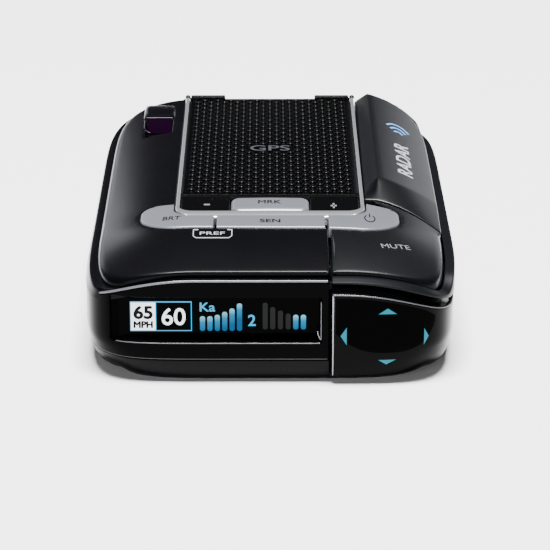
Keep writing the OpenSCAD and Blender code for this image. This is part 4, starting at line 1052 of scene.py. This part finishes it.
skin(Shape(), dark_reflection_ring, lambda p, d: dark_reflection_at(p, d - 0.02), [(0.0, 0.015), (0.1, 0.0)], 0.9).make(
    "arrow_painted_dark_reflection", recess_and_painted_reflection_black, "case", "gloss_front", (), 40.0)

arrow_shapes = {"arrow_up": ((25.3, 17.9), (29.7, 17.9), (27.55, 19.35)),
                "arrow_down": ((25.4, 6.3), (27.35, 5.05), (29.7, 6.3)),
                "arrow_left": ((18.0, 10.2), (18.0, 14.7), (16.5, 12.5)),
                "arrow_right": ((36.8, 9.6), (38.4, 11.7), (36.8, 13.8))}
panel_at = shell_place(panel_loop)
for arrow_name, corners in arrow_shapes.items():
    ring = np.array(dense([np.array([panel_loop.near(x, -67), z]) for x, z in corners], 0.3))
    if np.sum(ring[:, 0] * np.roll(ring[:, 1], -1) - np.roll(ring[:, 0], -1) * ring[:, 1]) < 0:
        ring = ring[::-1]
    skin(Shape(), ring, lambda p, d: panel_at(p, d - 0.12), fillet(0.12, 2), 0.5,
         foot=lambda p: panel_at(p, np.full(len(p), 0.4))).make(
        arrow_name + "_lens", looks["arrow_lens"], "case", "arrow_lens", [arrow_name])


# ---- side strip: under the mute key, round the corner and along the side ----
def build_strip():
    s0, s1 = strip_loop.near(SPLIT_X + 0.4, -66.3), strip_loop.near(42.3, STRIP_REAR_Y)
    s = np.linspace(s0, s1, 190)
    base, n = strip_loop.at(s)
    x, y = base[:, 0], base[:, 1]
    w = np.clip((y + 62) / 10, 0, 1)
    w = w * w * (3 - 2 * w)
    back = w * np.minimum(deck_z(42.1, y) - 1.3, 24.6)
    top = (1 - w) * (lip_z(x) - 0.45) + back
    crest = (1 - w) * (lip_z(x) + 0.35) + back
    low = np.where(y > WRAP_Y, 18.4, np.maximum(18.4, lip_z(x) - 0.95 - 0.013 * (x - SPLIT_X)))
    section = [(2.3, low), (0.2, low), (0.06, low + 0.06), (0.0, low + 0.2), (0.0, top - 0.3),
               (0.07, top - 0.1),
               (0.25, top), (0.6, top * 0.8 + crest * 0.2), (1.3, top * 0.4 + crest * 0.6), (2.0, crest),
               (2.2, crest),
               (2.35, crest - 0.1), (2.35, crest - 1.5)]
    rows = [np.column_stack([base - n * (np.zeros(len(s)) + inset)[:, None], z]) for inset, z in section]
    m = len(s)
    faces = [(j * m + i, j * m + i + 1, (j + 1) * m + i + 1, (j + 1) * m + i)
             for j in range(len(rows) - 1) for i in range(m - 1)]
    ends = [tuple(j * m for j in range(len(rows)))[::-1], tuple(j * m + m - 1 for j in range(len(rows)))]
    return Shape().add(np.vstack(rows), faces + ends)


build_strip().make("side_strip_shell", looks["satin_grey"], "case", "satin_grey", ["side_strip"], 40.0)


# ---- printed and raised marks ----
def label(shape, text, centre, size, height, turn=0.0, weight=0.0, slant=0.0, lift=0.03):
    unit, faces, layer = letters(text, weight, slant)
    flat = (unit - 0.5) * size
    c, s = math.cos(math.radians(turn)), math.sin(math.radians(turn))
    p = np.column_stack([centre[0] + c * flat[:, 0] - s * flat[:, 1],
                         centre[1] + s * flat[:, 0] + c * flat[:, 1]])
    return shape.add(np.column_stack([p, height(p[:, 0], p[:, 1]) + lift + layer]), faces)


def stroke(shape, path, width, height, lift=0.03):
    """A printed line of the given widths across X and Y along a path."""
    path = dense([np.array(p, float) for p in path], 0.4, closed=False)
    run = np.gradient(path, axis=0)
    run /= np.linalg.norm(run, axis=1)[:, None] + 1e-12
    off = np.column_stack([-run[:, 1] * width[0], run[:, 0] * width[1]]) / 2
    left, right = path + off, path - off
    pts = np.vstack([left, right])
    m = len(path)
    return shape.add(np.column_stack([pts, height(pts[:, 0], pts[:, 1]) + lift]),
                     [(m + i, m + i + 1, i + 1, i) for i in range(m - 1)])


label(Shape(), "MUTE", (30.0, -50.3), (7.1, 1.9), deck_z, 14.0, 0.0).make(
    "label_mute", print_mute, "mute_key", "hump_satin")
label(Shape(), "BRT", (-24.0, -36.0), (4.3, 2.6), satin_height, -4.0, 0.008).make(
    "label_brightness", print_grey, "brightness_key", "satin_key")
label(Shape(), "SEN", (0.0, -38.7), (5.0, 2.4), satin_height, 0.0, 0.018).make(
    "label_sensitivity", print_grey, "sensitivity_key", "satin_key")
label(Shape(), "MRK", (-0.1, -25.0), (5.7, 2.7), lambda x, y: 31.72 - 0.012 * np.abs(x), 0.0, 0.012).make(
    "label_mark", print_grey, "mark_key", "satin_key")
power_mark = Shape()
stroke(power_mark, [(24.3 + 1.25 * math.sin(t), -36.2 + 2.5 * math.cos(t))
                    for t in np.radians(np.linspace(35, 325, 30))],
       (0.28, 0.6), satin_height)
stroke(power_mark, [(24.3, -32.6), (24.3, -35.4)], (0.28, 0.5), satin_height)
power_mark.make("label_power", print_grey, "power_key", "satin_key")
minus_mark, plus_mark = Shape(), Shape()
key_face = lambda x, y: 30.75 + 0 * x
stroke(minus_mark, [(-16.4, -24.3), (-14.9, -24.3)], (0.4, 1.0), key_face)
minus_mark.make("label_minus", print_mute, "minus_key", "strip_black")
stroke(plus_mark, [(15.0, -25.2), (16.5, -25.2)], (0.4, 1.0), key_face)
stroke(plus_mark, [(15.75, -23.2), (15.75, -27.2)], (0.42, 0.4), key_face)
plus_mark.make("label_plus", print_mute, "plus_key", "strip_black")

pref = label(Shape(), "PREF", (-13.9, -45.9), (6.0, 1.6), deck_z)
stroke(pref, [(-17.3, -43.9), (-18.5, -43.9)], (0.35, 0.5), deck_z)
stroke(pref, [(-18.45, -43.7), (-18.45, -47.3), (-17.8, -48.3), (-9.9, -48.3), (-9.2, -47.3),
              (-9.2, -43.7)],
       (0.2, 0.38), deck_z)
stroke(pref, [(-10.3, -43.9), (-9.2, -43.9)], (0.35, 0.5), deck_z)
pref.make("label_hold", print_white, "case", "cover_satin")
label(Shape(), "GPS", (0.0, 19.9), (10.4, 4.6), lambda x, y: pad_z(y), 0.0, 0.012, lift=0.3).make(
    "label_satellite", print_soft, "case", "pad_texture")

# generic wave mark and word on the hump, in place of the maker's print
waves = Shape()
for r in (2.4, 4.4, 6.4):
    stroke(waves, [(34.4 + 0.62 * r * math.sin(t), 31.5 + r * math.cos(t) * 1.5)
                   for t in np.radians(np.linspace(-48, 48, 26))],
           (0.55, 0.9), hump_z, 0.06)
waves.make("wave_mark", finish("print_blue", (0.10, 0.30, 0.62), 0.4, 0.4), "case", "hump_satin")
label(Shape(), "RADAR", (34.6, 10.5), (27.0, 3.9), hump_z, 90.0, 0.02, lift=0.06).make(
    "word_on_hump", print_white, "case", "hump_satin")


# ---- floor, light and camera ----
floor_mesh = bpy.data.meshes.new("studio_floor")
floor_mesh.from_pydata([(-6, -6, 0), (6, -6, 0), (6, 6, 0), (-6, 6, 0)], [], [(0, 1, 2, 3)])
floor = bpy.data.objects.new("studio_floor", floor_mesh)
bpy.context.scene.collection.objects.link(floor)
floor_mesh.materials.append(finish("floor_white", (0.90, 0.90, 0.90), 0.9, 0.1, vary=0.004))


def softbox(name, place, target, size, power, colour=(1, 1, 1)):
    lamp = bpy.data.lights.new(name, "AREA")
    lamp.shape = "RECTANGLE"
    lamp.size, lamp.size_y = size
    lamp.energy = power
    lamp.color = colour
    holder = bpy.data.objects.new(name, lamp)
    bpy.context.scene.collection.objects.link(holder)
    holder.location = place
    holder.rotation_euler = (Vector(target) - Vector(place)).to_track_quat("-Z", "Y").to_euler()
    return holder


softbox("top_light", (0, -0.15, 1.9), (0, 0, 0), (0.8, 0.45), 185)
softbox("front_fill", (-0.3, -1.3, 0.3), (0, 0, 0), (1.4, 0.5), 11)
softbox("back_left_light", (-0.62, 1.1, 0.40), (0, 0, 0.03), (0.62, 0.5), 1.6, (0.92, 0.93, 1.0))
softbox("back_right_light", (0.62, 1.1, 0.34), (0, 0, 0.03), (0.62, 0.5), 1.2, (0.92, 0.94, 1.0))
world = bpy.data.worlds.new("studio_world")
bpy.context.scene.world = world
world.use_nodes = True
world.node_tree.nodes["Background"].inputs["Color"].default_value = (0.9, 0.92, 1.0, 1)
world.node_tree.nodes["Background"].inputs["Strength"].default_value = 0.03

camera_data = bpy.data.cameras.new("camera")
camera_data.lens = 177.16
camera_data.sensor_width = 36.0
camera = bpy.data.objects.new("camera", camera_data)
bpy.context.scene.collection.objects.link(camera)
camera.location = (-0.0002, -0.6618, 0.23964)
camera.rotation_euler = (math.radians(90 - 19.633), 0, math.radians(-0.128))
bpy.context.scene.camera = camera
